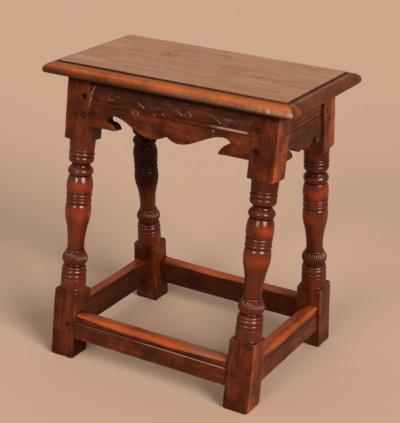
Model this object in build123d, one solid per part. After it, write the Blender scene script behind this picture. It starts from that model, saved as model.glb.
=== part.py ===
"""Joint stool: a pegged mortise-and-tenon frame of turned, splayed legs under a moulded seat board.

Millimetres. The origin is on the floor at the centre of the stool. X runs along the seat,
-Y is the front and +Z is up. The legs lean only in the front-to-back direction.
"""
import math
import os
from typing import NamedTuple

from build123d import *

# ---------------------------------------------------------------- driving dimensions
STOOL_HEIGHT = 540.0            # floor to the top of the seat board
SEAT_LENGTH = 479.0
SEAT_DEPTH = 273.0
SEAT_THICKNESS = 21.5

LEG_SQUARE = 47.0               # side of the square blocks on each leg
LEG_SPLAY = 6.65                # degrees, front to back
SEAT_END_OVERHANG = 36.0        # seat board past the legs' outer faces at each end
SEAT_FRONT_OVERHANG = 27.5      # and past their front faces, at its underside
FOOT_BLOCK = 128.3              # length of the lower square block, along the leg
HEAD_BLOCK = 116.3              # length of the upper square block, along the leg's face
SHOULDER_FALL = 1.0             # how far the turned shoulder falls away at the block's corners

# seat edge: a small step, a thumbnail, and a tucked-in lower corner
SEAT_QUIRK = 2.4                # drop of the step around the flat field
SEAT_MOULDING = 20.5            # width of the moulding in from the edge
SEAT_NOSE = 15.5                # depth of the widest point below the field
SEAT_TUCK = 2.8                 # how far the underside sits in from the nose

# rails
APRON_THICKNESS = 22.0
STRETCHER_THICKNESS = 25.0
FRONT_RAIL_SETBACK = 1.0        # front and back rails behind the leg faces
SIDE_RAIL_SETBACK = 4.0         # side rails behind the leg faces
FRONT_APRON_DEPTH = 86.5        # from the seat board down to the apron's plain ends
SIDE_APRON_DEPTH = 95.0
FRONT_STRETCHER_UNDER = 41.0    # underside of the front and back stretchers above the floor
FRONT_STRETCHER_DEPTH = 47.5
SIDE_STRETCHER_UNDER = 37.5
SIDE_STRETCHER_DEPTH = 51.0
STRETCHER_WEAR = 8.0            # radius of the worn outer top arris
BEAD_HEIGHT = 7.5               # scratched bead: width across the round
BEAD_SINK = 1.6                 # depth of the quirks beside it
BEAD_QUIRK = 1.5                # width of each quirk
BEAD_CROWN = 0.3                # the round's crown below the rail's face
APRON_BEAD_DROP = 40.0          # top of the bead below the seat board
STRETCHER_LINE_DROP = 15.5      # scratched line below the stretcher's top
STRETCHER_LINE_SINK = 1.6       # its depth, and half its width in the face

# joints
TENON_THICKNESS = 9.0
MORTISE_SETBACK = 10.0          # wood left outside each mortise
MORTISE_WEB = 1.0               # wood left between the two mortises that meet in a leg
MORTISE_END_ROOM = 1.0          # a blind mortise is this much deeper than its tenon
CHEEK_CLEARANCE = 0.1           # between a tenon and its mortise on each side
APRON_HAUNCH = 14.0             # apron tenon below the apron's top edge
APRON_TENON_LIFT = 9.0          # apron tenon above the apron's plain lower edge
STRETCHER_TENON_INSET = 7.0     # stretcher tenon in from the stretcher's top and underside
TENON_ROOT = 5.0                # tenon stock inside the rail, where the two are one piece

# pegs
PEG_DIAMETER = 8.5              # over the corners of a peg
PEG_SIDES = 8
PEG_CLEARANCE = 0.1             # on the radius of its hole
PEG_REACH = 27.0                # length of a rail peg inside the leg
PEG_PROUD = 1.6
PEG_BEVEL = 1.0                 # bevel round the peg's head
PEG_FROM_SHOULDER = 11.0        # peg centre from the tenon's shoulder
FRONT_APRON_PEGS = (36.0, 16.0)  # upper peg below the seat board, lower peg above the plain edge
SIDE_APRON_PEGS = (41.5, 16.0)
STRETCHER_PEG_FROM_SHOULDER = 15.0
SEAT_PEG_REACH = 25.0           # length of a seat peg inside the leg
SEAT_PEG_SINK = 0.3             # seat pegs sit just under the field
SEAT_PEG_IN = (25.5, 30.0)      # seat peg centre from the leg's outer side and front faces


class TurnedMember(NamedTuple):
    """One stretch of the turning: a share of the turned length and the radii at its ends."""
    length: float               # share of the turned length
    start: float                # radius share at the lower end
    end: float                  # radius share at the upper end
    bulge: float = 0.0          # how far the middle stands out from the straight line


class ApronHalf(NamedTuple):
    """Cut-out of one half of an apron, from the leg inwards.

    Each point is (reach from the shoulder, rise above the apron's plain end).
    """
    beak: tuple                 # tip of the beak beside the leg
    back: tuple                 # a point on the beak's back
    notch: tuple                # innermost point of the hooked notch behind the beak
    notch_radius: float
    crown: tuple                # crown of the arch
    lobe: tuple                 # lowest point of the lobe: (offset from the rail's middle, rise)
    cusp_rise: float            # the point where two lobes meet in the middle


# the aprons were cut by eye, so their halves differ
FRONT_LEFT_CUT = ApronHalf(beak=(57.0, 1.0), back=(51.5, 9.3), notch=(37.0, 17.5), notch_radius=5.0,
                           crown=(51.0, 25.5), lobe=(32.0, 0.5), cusp_rise=11.0)
FRONT_RIGHT_CUT = ApronHalf(beak=(58.0, 0.5), back=(51.0, 11.5), notch=(37.0, 22.0), notch_radius=1.6,
                            crown=(50.0, 28.0), lobe=(24.0, 1.5), cusp_rise=11.0)
SIDE_FRONT_CUT = ApronHalf(beak=(32.6, 1.9), back=(28.0, 10.0), notch=(17.8, 17.2), notch_radius=2.2,
                           crown=(25.0, 20.2), lobe=(14.0, 3.3), cusp_rise=6.8)
SIDE_BACK_CUT = ApronHalf(beak=(21.8, 2.0), back=(22.2, 6.5), notch=(22.0, 12.0), notch_radius=1.4,
                          crown=(26.5, 14.5), lobe=(22.0, 2.3), cusp_rise=6.8)
BEAK_PLAIN_SHARE = 0.75         # straight part of the edge between the leg and the beak's tip

# ---------------------------------------------------------------- derived places
SPLAY = math.radians(LEG_SPLAY)
SEAT_UNDER = STOOL_HEIGHT - SEAT_THICKNESS
LEG_OUTER_X = SEAT_LENGTH / 2 - SEAT_END_OVERHANG
FOOT_OUTER_Y = SEAT_DEPTH / 2 - SEAT_FRONT_OVERHANG + SEAT_UNDER * math.tan(SPLAY)
LEG_TOP = SEAT_UNDER / math.cos(SPLAY)          # seat underside, measured along the leg's face
UPPER_BLOCK = LEG_TOP - HEAD_BLOCK              # start of the upper block along the leg
TURNING_LENGTH = UPPER_BLOCK - FOOT_BLOCK
TENON_LENGTH = LEG_SQUARE - MORTISE_SETBACK - TENON_THICKNESS - MORTISE_WEB - MORTISE_END_ROOM
RAIL_SPAN = 2 * (LEG_OUTER_X - LEG_SQUARE)      # front and back rails, shoulder to shoulder
HOLE_RADIUS = PEG_DIAMETER / 2 + PEG_CLEARANCE
OVER = 2 * LEG_SQUARE                           # waste left above a piece before it is levelled

FRONT_APRON_LOW = LEG_TOP - FRONT_APRON_DEPTH   # plain lower edges
SIDE_APRON_LOW = SEAT_UNDER - SIDE_APRON_DEPTH

SAME_POINT = 1e-6

# the leg's own frame: X and Y in from its outer faces, Z up along the leg
LEG_FRAME = Location((-LEG_OUTER_X, -FOOT_OUTER_Y, 0)) * Rotation(-LEG_SPLAY, 0, 0)
RAIL_FRAME = Location((0, -FOOT_OUTER_Y, 0)) * Rotation(-LEG_SPLAY, 0, 0)
CORNERS = {"front_left": (), "front_right": ("x",), "back_left": ("y",), "back_right": ("x", "y")}


def block(x, y, z):
    """A box between two values on each axis."""
    low = [min(span) for span in (x, y, z)]
    size = [abs(span[1] - span[0]) for span in (x, y, z)]
    return Pos(*low) * Box(*size, align=(Align.MIN, Align.MIN, Align.MIN))


def face_of(plane, pieces):
    """A face on a plane, bounded by lines and curves that meet end to end."""
    edges = [edge for piece in pieces for edge in piece.edges()]
    return make_face(plane * Wire(edges))


def mirrored(shape, flips):
    """Mirror a front-left piece to another corner or side of the stool."""
    for flip in flips:
        shape = mirror(shape, about=Plane.YZ if flip == "x" else Plane.XZ)
    return shape


def levelled(shape):
    """Cut a leaning piece level with the floor and with the underside of the seat board."""
    room = SEAT_LENGTH + FOOT_OUTER_Y
    return shape & block((-room, room), (-room, room), (0, SEAT_UNDER))


def leg_inner_y(height):
    """Distance of the legs' inner faces from the middle, front to back, at a height."""
    return FOOT_OUTER_Y - height * math.tan(SPLAY) - LEG_SQUARE / math.cos(SPLAY)


# ---------------------------------------------------------------- legs
# from the lower block upwards: lengths share the turned part, radii share half the leg's square
TURNING = (
    TurnedMember(0.0764, 0.985, 0.980),                 # lower collar
    TurnedMember(0.0288, 0.925, 0.920, 0.052),          # astragal
    TurnedMember(0.0325, 0.920, 0.900, 0.068),          # astragal
    TurnedMember(0.0216, 0.900, 0.800, 0.078),          # ovolo closing in
    TurnedMember(0.0090, 0.800, 0.800),                 # neck under the bulb
    TurnedMember(0.0685, 0.800, 0.860, 0.155),          # bulb, lower two thirds
    TurnedMember(0.0144, 0.860, 0.745),                 # bulb, upper slope
    TurnedMember(0.0144, 0.730, 0.700, 0.035),          # thin ring over the bulb
    TurnedMember(0.1700, 0.655, 0.825, -0.055),         # long taper
    TurnedMember(0.1464, 0.825, 0.925, 0.110),          # swelling of the lower vase
    TurnedMember(0.0240, 0.925, 0.935, 0.055),          # astragal
    TurnedMember(0.0160, 0.945, 0.950),                 # plain strip
    TurnedMember(0.0260, 0.925, 0.925, 0.060),          # astragal
    TurnedMember(0.1170, 0.955, 0.810, 0.090),          # upper vase
    TurnedMember(0.0577, 0.810, 0.770, 0.192),          # ring
    TurnedMember(0.0270, 0.770, 0.800, -0.085),         # deep neck
    TurnedMember(0.0415, 0.885, 0.925, 0.064),          # ovolo opening out
    TurnedMember(0.0288, 0.925, 0.925, 0.062),          # astragal
    TurnedMember(0.0162, 0.925, 0.930, 0.030),          # thin astragal
    TurnedMember(0.0639, 0.960, 0.985),                 # upper collar
)


def turned_shaft():
    """The turned part of a leg between its blocks, standing on its own axis from Z = 0."""
    radius = LEG_SQUARE / 2
    whole = sum(member.length for member in TURNING)
    edges = []
    height = 0.0
    last = (0.0, 0.0)
    for member in TURNING:
        top = height + member.length / whole * TURNING_LENGTH
        foot = (member.start * radius, height)
        head = (member.end * radius, top)
        if math.dist(last, foot) > SAME_POINT:
            edges.append(Line(last, foot))
        if member.bulge:
            crown = ((foot[0] + head[0]) / 2 + 2 * member.bulge * radius, (height + top) / 2)
            edges.append(Bezier(foot, crown, head))
        else:
            edges.append(Line(foot, head))
        last = head
        height = top
    edges.append(Polyline(last, (0, TURNING_LENGTH), (0, 0)))
    return revolve(face_of(Plane.XZ, edges), Axis.Z)


def square_block(low, high, turned_ends):
    """A square block of the leg whose shoulders fall away where the lathe cut its corners."""
    body = Pos(0, 0, low) * Box(LEG_SQUARE, LEG_SQUARE, high - low,
                                align=(Align.CENTER, Align.CENTER, Align.MIN))
    round_radius = LEG_SQUARE / 2
    corner_radius = LEG_SQUARE / 2 * math.sqrt(2)
    for end, outward in turned_ends:
        rim = end - outward * SHOULDER_FALL
        cone = make_face(Plane.XZ * Polyline(
            (round_radius, end), (corner_radius, end), (corner_radius, rim), close=True))
        body -= revolve(cone, Axis.Z)
    return body


def apron_tenon_span(low, high):
    """Lower and upper edge of an apron tenon."""
    return low + APRON_TENON_LIFT, high - APRON_HAUNCH


def stretcher_tenon_span(low, depth):
    """Lower and upper edge of a stretcher tenon."""
    return low + STRETCHER_TENON_INSET, low + depth - STRETCHER_TENON_INSET


def grown(span, by):
    """A span made longer by the same amount at both ends."""
    return span[0] - by, span[1] + by


def front_tenon_spans():
    """Where the front rails' tenons enter a leg, measured along the leg."""
    return (apron_tenon_span(FRONT_APRON_LOW, LEG_TOP),
            stretcher_tenon_span(FRONT_STRETCHER_UNDER, FRONT_STRETCHER_DEPTH))


def side_tenon_spans():
    """Where the side rails' tenons enter a leg, as heights above the floor."""
    return (apron_tenon_span(SIDE_APRON_LOW, SEAT_UNDER),
            stretcher_tenon_span(SIDE_STRETCHER_UNDER, SIDE_STRETCHER_DEPTH))


def side_tenon(span, reach, root, grow=0.0):
    """Front tenon of the left rails, from inside the rail; its end follows the slope of the leg."""
    low, high = grown(span, grow)
    corners = [(-leg_inner_y(low) + root, low), (-leg_inner_y(high) + root, high),
               (-leg_inner_y(high) - reach, high), (-leg_inner_y(low) - reach, low)]
    outline = make_face(Plane.YZ * Polyline(*corners, close=True))
    left = -LEG_OUTER_X + MORTISE_SETBACK - grow
    return Pos(left, 0, 0) * extrude(outline, TENON_THICKNESS + 2 * grow, dir=(1, 0, 0))


def apron_peg_heights(low, high, pegs):
    """Heights of the two pegs of an apron's tenon, from the apron's plain edge and its top."""
    drop, rise = pegs
    return high - drop, low + rise


def peg_centres_front():
    """Front-left leg: peg centres in its front face, across and along the leg."""
    across = LEG_SQUARE - PEG_FROM_SHOULDER
    for along in apron_peg_heights(FRONT_APRON_LOW, LEG_TOP, FRONT_APRON_PEGS):
        yield "apron", across, along
    yield ("stretcher", LEG_SQUARE - STRETCHER_PEG_FROM_SHOULDER,
           FRONT_STRETCHER_UNDER + FRONT_STRETCHER_DEPTH / 2)


def peg_centres_side():
    """Front-left leg: peg centres in its outer side face, as Y and height."""
    heights = [("apron", height, PEG_FROM_SHOULDER)
               for height in apron_peg_heights(SIDE_APRON_LOW, SEAT_UNDER, SIDE_APRON_PEGS)]
    heights.append(("stretcher", SIDE_STRETCHER_UNDER + SIDE_STRETCHER_DEPTH / 2,
                    STRETCHER_PEG_FROM_SHOULDER))
    for kind, height, inset in heights:
        yield kind, -leg_inner_y(height) - inset / math.cos(SPLAY), height


def peg_hole(radius):
    """Round hole along +Z for a rail peg, open to the outside."""
    return Pos(0, 0, -OVER) * Cylinder(radius, PEG_REACH + OVER,
                                       align=(Align.CENTER, Align.CENTER, Align.MIN))


def shaved_peg(radius):
    """A peg along +Z, shaved to eight sides, its proud head bevelled."""
    shank = Pos(0, 0, -PEG_PROUD) * extrude(RegularPolygon(radius, PEG_SIDES), PEG_REACH + PEG_PROUD)
    return chamfer(shank.edges().group_by(Axis.Z)[0], PEG_BEVEL)


def at_rail_pegs(kind, shape):
    """Copies of a shape at all rail pegs of one kind in the front-left leg."""
    copies = []
    for peg_kind, across, along in peg_centres_front():
        if peg_kind == kind:
            copies.append(LEG_FRAME * Pos(across, 0, along) * Rotation(-90, 0, 0) * shape)
    for peg_kind, y, height in peg_centres_side():
        if peg_kind == kind:
            copies.append(Pos(-LEG_OUTER_X, y, height) * Rotation(0, 90, 0) * shape)
    return copies


def at_seat_peg(shape):
    """A shape moved from the origin to the front-left seat peg, at the seat board's top."""
    side, front = SEAT_PEG_IN
    y = -FOOT_OUTER_Y + SEAT_UNDER * math.tan(SPLAY) + front
    return Pos(-LEG_OUTER_X + side, y, STOOL_HEIGHT) * shape


def seat_peg_hole():
    """Hole down through the seat board into the top of the front-left leg."""
    depth = SEAT_THICKNESS + SEAT_PEG_REACH
    return at_seat_peg(Cylinder(HOLE_RADIUS, depth, align=(Align.CENTER, Align.CENTER, Align.MAX)))


def seat_peg():
    """Peg of the front-left leg's top, cut off just under the field of the seat board."""
    depth = SEAT_THICKNESS + SEAT_PEG_REACH
    return at_seat_peg(Pos(0, 0, -depth) * extrude(
        RegularPolygon(PEG_DIAMETER / 2, PEG_SIDES), depth - SEAT_PEG_SINK))


def front_left_leg():
    """A leg with its two blocks, turned shaft, four mortises and drilled peg holes."""
    axis = Pos(LEG_SQUARE / 2, LEG_SQUARE / 2, 0)
    foot = square_block(-OVER, FOOT_BLOCK, [(FOOT_BLOCK, 1)])
    head = square_block(UPPER_BLOCK, LEG_TOP + OVER, [(UPPER_BLOCK, -1)])
    shaft = Pos(0, 0, FOOT_BLOCK) * turned_shaft()
    leg = axis * (foot + head + shaft)
    depth = TENON_LENGTH + MORTISE_END_ROOM
    cheeks = grown((MORTISE_SETBACK, MORTISE_SETBACK + TENON_THICKNESS), CHEEK_CLEARANCE)
    for span in front_tenon_spans():
        leg -= block((LEG_SQUARE - depth, 2 * LEG_SQUARE), cheeks, grown(span, CHEEK_CLEARANCE))
    leg = levelled(LEG_FRAME * leg)
    for span in side_tenon_spans():
        leg -= side_tenon(span, depth, TENON_ROOT, CHEEK_CLEARANCE)
    for kind in ("apron", "stretcher"):
        leg -= at_rail_pegs(kind, peg_hole(HOLE_RADIUS))
    return leg - seat_peg_hole()


# ---------------------------------------------------------------- rails
def apron_half_edges(cut, half_span):
    """Lower edge of half an apron, from the shoulder at X = half_span to the middle at X = 0."""
    def at(reach, rise):
        return half_span - reach, rise

    reach, rise = cut.notch
    notch_low = at(reach + cut.notch_radius, rise - cut.notch_radius)
    notch_high = at(reach + cut.notch_radius, rise + cut.notch_radius)
    plain_end = at(cut.beak[0] * BEAK_PLAIN_SHARE, 0)
    return [
        Line(at(0, 0), plain_end),
        Spline(plain_end, at(*cut.beak), tangents=[(-1, 0), (-1, 0.6)]),
        ThreePointArc(at(*cut.beak), at(*cut.back), notch_low),
        ThreePointArc(notch_low, at(reach, rise), notch_high),
        Spline(notch_high, at(*cut.crown), tangents=[(-0.7, 0.7), (-1, 0)]),
        Spline(at(*cut.crown), cut.lobe, tangents=[(-1, 0), (-1, 0)]),
        Spline(cut.lobe, (0, cut.cusp_rise), tangents=[(-1, 0), (-0.7, 0.7)]),
    ]


def apron_outline(left_cut, right_cut, half_low, half_high, depth):
    """Face of an apron: its cut lower edge at Y = 0 and its top edge at Y = depth."""
    right = apron_half_edges(right_cut, half_low)
    left = [mirror(edge, about=Plane.YZ) for edge in apron_half_edges(left_cut, half_low)]
    top = Polyline((half_low, 0), (half_high, depth), (-half_high, depth), (-half_low, 0))
    return face_of(Plane.XY, right + left + [top])


def scratched_bead(length, top):
    """Waste of a scratched bead along X in a face at Y = 0: a quirk, a round and a quirk."""
    low = top - BEAD_HEIGHT
    line = [
        Polyline((-BEAD_SINK, top + BEAD_QUIRK), (0, top + BEAD_QUIRK), (BEAD_SINK, top)),
        ThreePointArc((BEAD_SINK, top), (BEAD_CROWN, (top + low) / 2), (BEAD_SINK, low)),
        Polyline((BEAD_SINK, low), (0, low - BEAD_QUIRK), (-BEAD_SINK, low - BEAD_QUIRK),
                 (-BEAD_SINK, top + BEAD_QUIRK)),
    ]
    section = face_of(Plane.YZ, line)
    return Pos(-length / 2, 0, 0) * extrude(section, length, dir=(1, 0, 0))


def scratched_line(length, height):
    """Waste of a single scratched V along X in a face at Y = 0."""
    sink = STRETCHER_LINE_SINK
    section = make_face(Plane.YZ * Polyline(
        (-sink, height + 2 * sink), (sink, height), (-sink, height - 2 * sink), close=True))
    return Pos(-length / 2, 0, 0) * extrude(section, length, dir=(1, 0, 0))


def front_tenons(span):
    """The two tenons of a front rail, in the rail's leaning frame."""
    cheeks = (MORTISE_SETBACK, MORTISE_SETBACK + TENON_THICKNESS)
    root, tip = RAIL_SPAN / 2 - TENON_ROOT, RAIL_SPAN / 2 + TENON_LENGTH
    return [block((side * root, side * tip), cheeks, span) for side in (-1, 1)]


def side_tenons(span):
    """The two tenons of the left rail."""
    tenon = side_tenon(span, TENON_LENGTH, TENON_ROOT)
    return [tenon, mirrored(tenon, ("y",))]


def front_apron():
    """Front apron: leans with the legs, cut along its lower edge, with a scratched bead."""
    half = RAIL_SPAN / 2
    outline = apron_outline(FRONT_LEFT_CUT, FRONT_RIGHT_CUT, half, half, FRONT_APRON_DEPTH + OVER)
    board = Pos(0, FRONT_RAIL_SETBACK, FRONT_APRON_LOW) * extrude(
        Plane.XZ * outline, APRON_THICKNESS, dir=(0, 1, 0))
    board -= Pos(0, FRONT_RAIL_SETBACK, 0) * scratched_bead(RAIL_SPAN, LEG_TOP - APRON_BEAD_DROP)
    board += front_tenons(front_tenon_spans()[0])
    return pegged(levelled(RAIL_FRAME * board), "apron", ("x",))


def front_stretcher():
    """Front stretcher: leans with the legs, its outer top arris worn round."""
    low, high = FRONT_STRETCHER_UNDER, FRONT_STRETCHER_UNDER + FRONT_STRETCHER_DEPTH
    near = FRONT_RAIL_SETBACK
    bar = block((-RAIL_SPAN / 2, RAIL_SPAN / 2), (near, near + STRETCHER_THICKNESS), (low, high))
    arris = bar.edges().filter_by(Axis.X).sort_by(Axis.Z)[-2:].sort_by(Axis.Y)[0]
    bar = fillet(arris, STRETCHER_WEAR)
    bar -= Pos(0, near, 0) * scratched_line(RAIL_SPAN, high - STRETCHER_LINE_DROP)
    bar += front_tenons(front_tenon_spans()[1])
    return pegged(RAIL_FRAME * bar, "stretcher", ("x",))


def side_rail_body(low, high, thickness):
    """A side rail with shoulders cut to the lean of the legs, its face at -X."""
    near = -LEG_OUTER_X + SIDE_RAIL_SETBACK
    outline = make_face(Plane.YZ * Polyline(
        (leg_inner_y(low), low), (leg_inner_y(high), high),
        (-leg_inner_y(high), high), (-leg_inner_y(low), low), close=True))
    return Pos(near, 0, 0) * extrude(outline, thickness, dir=(1, 0, 0))


def along_side(shape):
    """Turn something drawn along X with its face at Y = 0 to the left side's face."""
    return Pos(-LEG_OUTER_X + SIDE_RAIL_SETBACK, 0, 0) * Rotation(0, 0, -90) * shape


def left_apron():
    """Left apron: stands upright between the leaning legs, its front half at +X as it is drawn."""
    half_low, half_high = leg_inner_y(SIDE_APRON_LOW), leg_inner_y(SEAT_UNDER)
    outline = apron_outline(SIDE_BACK_CUT, SIDE_FRONT_CUT, half_low, half_high, SIDE_APRON_DEPTH)
    board = along_side(Pos(0, 0, SIDE_APRON_LOW) * extrude(
        Plane.XZ * outline, APRON_THICKNESS, dir=(0, 1, 0)))
    board -= along_side(scratched_bead(2 * half_low, SEAT_UNDER - APRON_BEAD_DROP))
    board += side_tenons(side_tenon_spans()[0])
    return pegged(board, "apron", ("y",))


def left_stretcher():
    """Left stretcher: upright, its shoulders cut to the lean of the legs."""
    low, high = SIDE_STRETCHER_UNDER, SIDE_STRETCHER_UNDER + SIDE_STRETCHER_DEPTH
    bar = side_rail_body(low, high, STRETCHER_THICKNESS)
    arris = bar.edges().filter_by(Axis.Y).group_by(Axis.Z)[-1].sort_by(Axis.X)[0]
    bar = fillet(arris, STRETCHER_WEAR)
    bar -= along_side(scratched_line(2 * leg_inner_y(low), high - STRETCHER_LINE_DROP))
    bar += side_tenons(side_tenon_spans()[1])
    return pegged(bar, "stretcher", ("y",))


def pegged(rail, kind, other_end):
    """Drill a rail's tenons for the pegs of the legs at both its ends."""
    for cutter in at_rail_pegs(kind, peg_hole(HOLE_RADIUS)):
        rail -= [cutter, mirrored(cutter, other_end)]
    return rail


# ---------------------------------------------------------------- seat board
def moulded_section(width, length, plane):
    """The board's cross-section across one direction, run the whole length of the other."""
    half = width / 2
    field = half - SEAT_MOULDING
    step = -SEAT_QUIRK
    bend = math.cos(math.radians(45))
    thumb = (field + SEAT_MOULDING * bend, -SEAT_NOSE + (SEAT_NOSE + step) * bend)
    tuck_mid = (half - SEAT_TUCK * (1 - bend), -SEAT_NOSE - (SEAT_THICKNESS - SEAT_NOSE) * bend)
    foot = (half - SEAT_TUCK, -SEAT_THICKNESS)
    right = [Line((field, 0), (field, step)), ThreePointArc((field, step), thumb, (half, -SEAT_NOSE)),
             ThreePointArc((half, -SEAT_NOSE), tuck_mid, foot)]
    left = [mirror(edge, about=Plane.YZ) for edge in right]
    across = [Line((field, 0), (-field, 0)), Line(foot, (-foot[0], foot[1]))]
    section = face_of(plane, right + left + across)
    return extrude(section, length / 2, both=True)


def seat_board():
    """The seat board, moulded on all four edges and bored for its pegs."""
    run = moulded_section(SEAT_DEPTH, SEAT_LENGTH, Plane.YZ)
    ends = moulded_section(SEAT_LENGTH, SEAT_DEPTH, Plane.XZ)
    board = Pos(0, 0, STOOL_HEIGHT) * (run & ends)
    return board - [mirrored(seat_peg_hole(), flips) for flips in CORNERS.values()]


# ---------------------------------------------------------------- the stool
def solids_of(shape):
    """One plain solid from the result of a cut or a join."""
    solids = shape.solids()
    return solids[0] if len(solids) == 1 else Compound(solids)


def build():
    """Every node of the stool by name."""
    nodes = {"seat_board": seat_board()}
    leg = front_left_leg()
    pegs = {kind: at_rail_pegs(kind, shaved_peg(PEG_DIAMETER / 2)) for kind in ("apron", "stretcher")}
    for corner, flips in CORNERS.items():
        nodes["leg_" + corner] = mirrored(leg, flips)
        for kind, solids in pegs.items():
            nodes[f"{kind}_pegs_{corner}"] = Compound([mirrored(one, flips) for one in solids])
    front_rails = {"apron": front_apron(), "stretcher": front_stretcher()}
    side_rails = {"apron": left_apron(), "stretcher": left_stretcher()}
    for kind, rail in front_rails.items():
        nodes[kind + "_front"] = rail
        nodes[kind + "_back"] = mirrored(rail, ("y",))
    for kind, rail in side_rails.items():
        nodes[kind + "_left"] = rail
        nodes[kind + "_right"] = mirrored(rail, ("x",))
    nodes["seat_pegs"] = Compound([mirrored(seat_peg(), flips) for flips in CORNERS.values()])
    return nodes


os.makedirs("parts", exist_ok=True)
for name, shape in build().items():
    export_step(solids_of(shape), f"parts/{name}.step")
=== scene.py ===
"""Looks of the joint stool: worn and waxed oak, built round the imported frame.

Shapes are worked out in millimetres in each piece's own frame, and placed in metres.
"""
import math

import bmesh
import bpy
import numpy as np
from mathutils import Matrix, Vector, geometry


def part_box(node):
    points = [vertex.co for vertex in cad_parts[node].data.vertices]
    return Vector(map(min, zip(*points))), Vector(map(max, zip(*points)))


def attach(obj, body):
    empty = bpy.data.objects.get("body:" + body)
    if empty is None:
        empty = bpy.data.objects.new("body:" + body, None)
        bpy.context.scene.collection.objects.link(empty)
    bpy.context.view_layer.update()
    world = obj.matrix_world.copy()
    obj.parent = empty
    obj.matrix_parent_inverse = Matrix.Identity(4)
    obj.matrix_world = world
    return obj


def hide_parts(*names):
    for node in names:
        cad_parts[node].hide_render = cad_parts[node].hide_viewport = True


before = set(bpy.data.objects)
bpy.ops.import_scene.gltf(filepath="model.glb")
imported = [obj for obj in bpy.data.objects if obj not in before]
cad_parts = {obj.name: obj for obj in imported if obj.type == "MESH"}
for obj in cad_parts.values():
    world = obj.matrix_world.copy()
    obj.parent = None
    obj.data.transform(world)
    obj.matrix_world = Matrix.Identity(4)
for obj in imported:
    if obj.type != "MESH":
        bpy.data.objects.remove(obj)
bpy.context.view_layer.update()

MM = 0.001

# ---------------------------------------------------------------- sizes from the frame


def node_box(name):
    """Lowest and highest corner of a CAD node, in millimetres."""
    low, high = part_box(name)
    return np.array(low) / MM, np.array(high) / MM


seat_low, seat_high = node_box("seat_board")
leg_low, leg_high = node_box("leg_front_left")
side_apron_low, side_apron_high = node_box("apron_left")
side_bar_low, side_bar_high = node_box("stretcher_left")

SQUARE = leg_high[0] - leg_low[0]           # side of a leg's square blocks
HALF = SQUARE / 2
OUTER_X = -leg_low[0]                       # outer side faces of the legs
FOOT_Y = -leg_low[1]                        # front faces of the legs, on the floor
SEAT_UNDER = leg_high[2]


def leg_lean():
    """Angle at which a leg's box is as deep as its height, lean and square make it."""
    depth = leg_high[1] - leg_low[1]
    return math.acos(SQUARE / math.hypot(depth, SEAT_UNDER)) - math.atan2(SEAT_UNDER, depth)


LEAN = leg_lean()
SIN, COS, TAN = math.sin(LEAN), math.cos(LEAN), math.tan(LEAN)
LEG_TOP = SEAT_UNDER / COS                  # seat underside, along the leg's face
HALF_SPAN = OUTER_X - SQUARE                # front and back rails, from the middle to a shoulder

# sizes that the frame's boxes don't give
FOOT_BLOCK = 128.3
HEAD_BLOCK = 116.3
SHOULDER_FALL = 1.0
FRONT_SETBACK = 1.0
SIDE_SETBACK = side_apron_low[0] - leg_low[0]
APRON_THICKNESS = side_apron_high[0] - side_apron_low[0]
BAR_THICKNESS = side_bar_high[0] - side_bar_low[0]
FRONT_APRON_DEPTH = 86.5
FRONT_BAR_UNDER = 41.0                      # front and back stretchers
FRONT_BAR_DEPTH = 47.5
BEAD_DROP = 40.0
BEAD_HEIGHT = 7.5
BEAD_SINK = 1.6
BEAD_QUIRK = 1.5
BAR_LINE_DROP = 15.5
PEG_FROM_SHOULDER = 11.0
FRONT_PEGS = (36.0, 16.0)                   # upper peg below the seat board, lower over the plain edge
SIDE_PEGS = (41.5, 16.0)
BAR_PEG_FROM_SHOULDER = 15.0
PEG_RADIUS = 4.25
SEAT_PEG = (25.5, 30.0)                     # from the leg's outer side and front faces
SEAT_QUIRK = 2.4
SEAT_MOULDING = 20.5
SEAT_NOSE = 15.5
SEAT_TUCK = 2.8
RAIL_LAP = 0.8                              # how far a rail runs on into the legs

UPPER_BLOCK = LEG_TOP - HEAD_BLOCK
CORNERS = {"front_left": (-1, -1), "front_right": (1, -1), "back_left": (-1, 1), "back_right": (1, 1)}


def leg_inner_y(height):
    """Distance of the legs' inner faces from the middle, front to back, at a height."""
    return FOOT_Y - height * TAN - SQUARE / COS


# ---------------------------------------------------------------- numbers that wander


def ripple(points, size, seed, waves=9):
    """Smooth noise from about -1 to 1 at points, with features about size across."""
    rng = np.random.default_rng(seed)
    points = np.atleast_2d(points)
    total = np.zeros(len(points))
    for _ in range(waves):
        direction = rng.normal(size=points.shape[1])
        direction *= 2 * math.pi / size * rng.uniform(0.6, 1.5) / np.linalg.norm(direction)
        total += np.sin(points @ direction + rng.uniform(0, 2 * math.pi))
    return np.clip(total / math.sqrt(waves), -1.6, 1.6) / 1.6


def smooth(low, high, value):
    """0 below low, 1 above high, and an easy slope between them."""
    t = np.clip((value - low) / (high - low), 0, 1)
    return t * t * (3 - 2 * t)


def blurred(values, width):
    """Values blurred along their length; width is in samples."""
    reach = int(4 * width) + 1
    kernel = np.exp(-0.5 * (np.arange(-reach, reach + 1) / width) ** 2)
    return np.convolve(np.pad(values, reach, mode="edge"), kernel / kernel.sum(), mode="valid")


def bell(value, width):
    """1 where value is 0, falling away to both sides over about width."""
    return np.exp(-(value / width) ** 2)


def rubbing(points, size, seed):
    """How much each point has been rubbed, from 0 to 1."""
    return 0.5 + 0.5 * ripple(points, size, seed)


def join(*parts):
    """Points from their coordinates; a single number serves for all points."""
    return np.stack(np.broadcast_arrays(*parts), -1)


def lattice(across, upward):
    """The points of a grid, row by row."""
    return np.stack(np.meshgrid(across, upward), -1).reshape(-1, 2)


# ---------------------------------------------------------------- meshes


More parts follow.
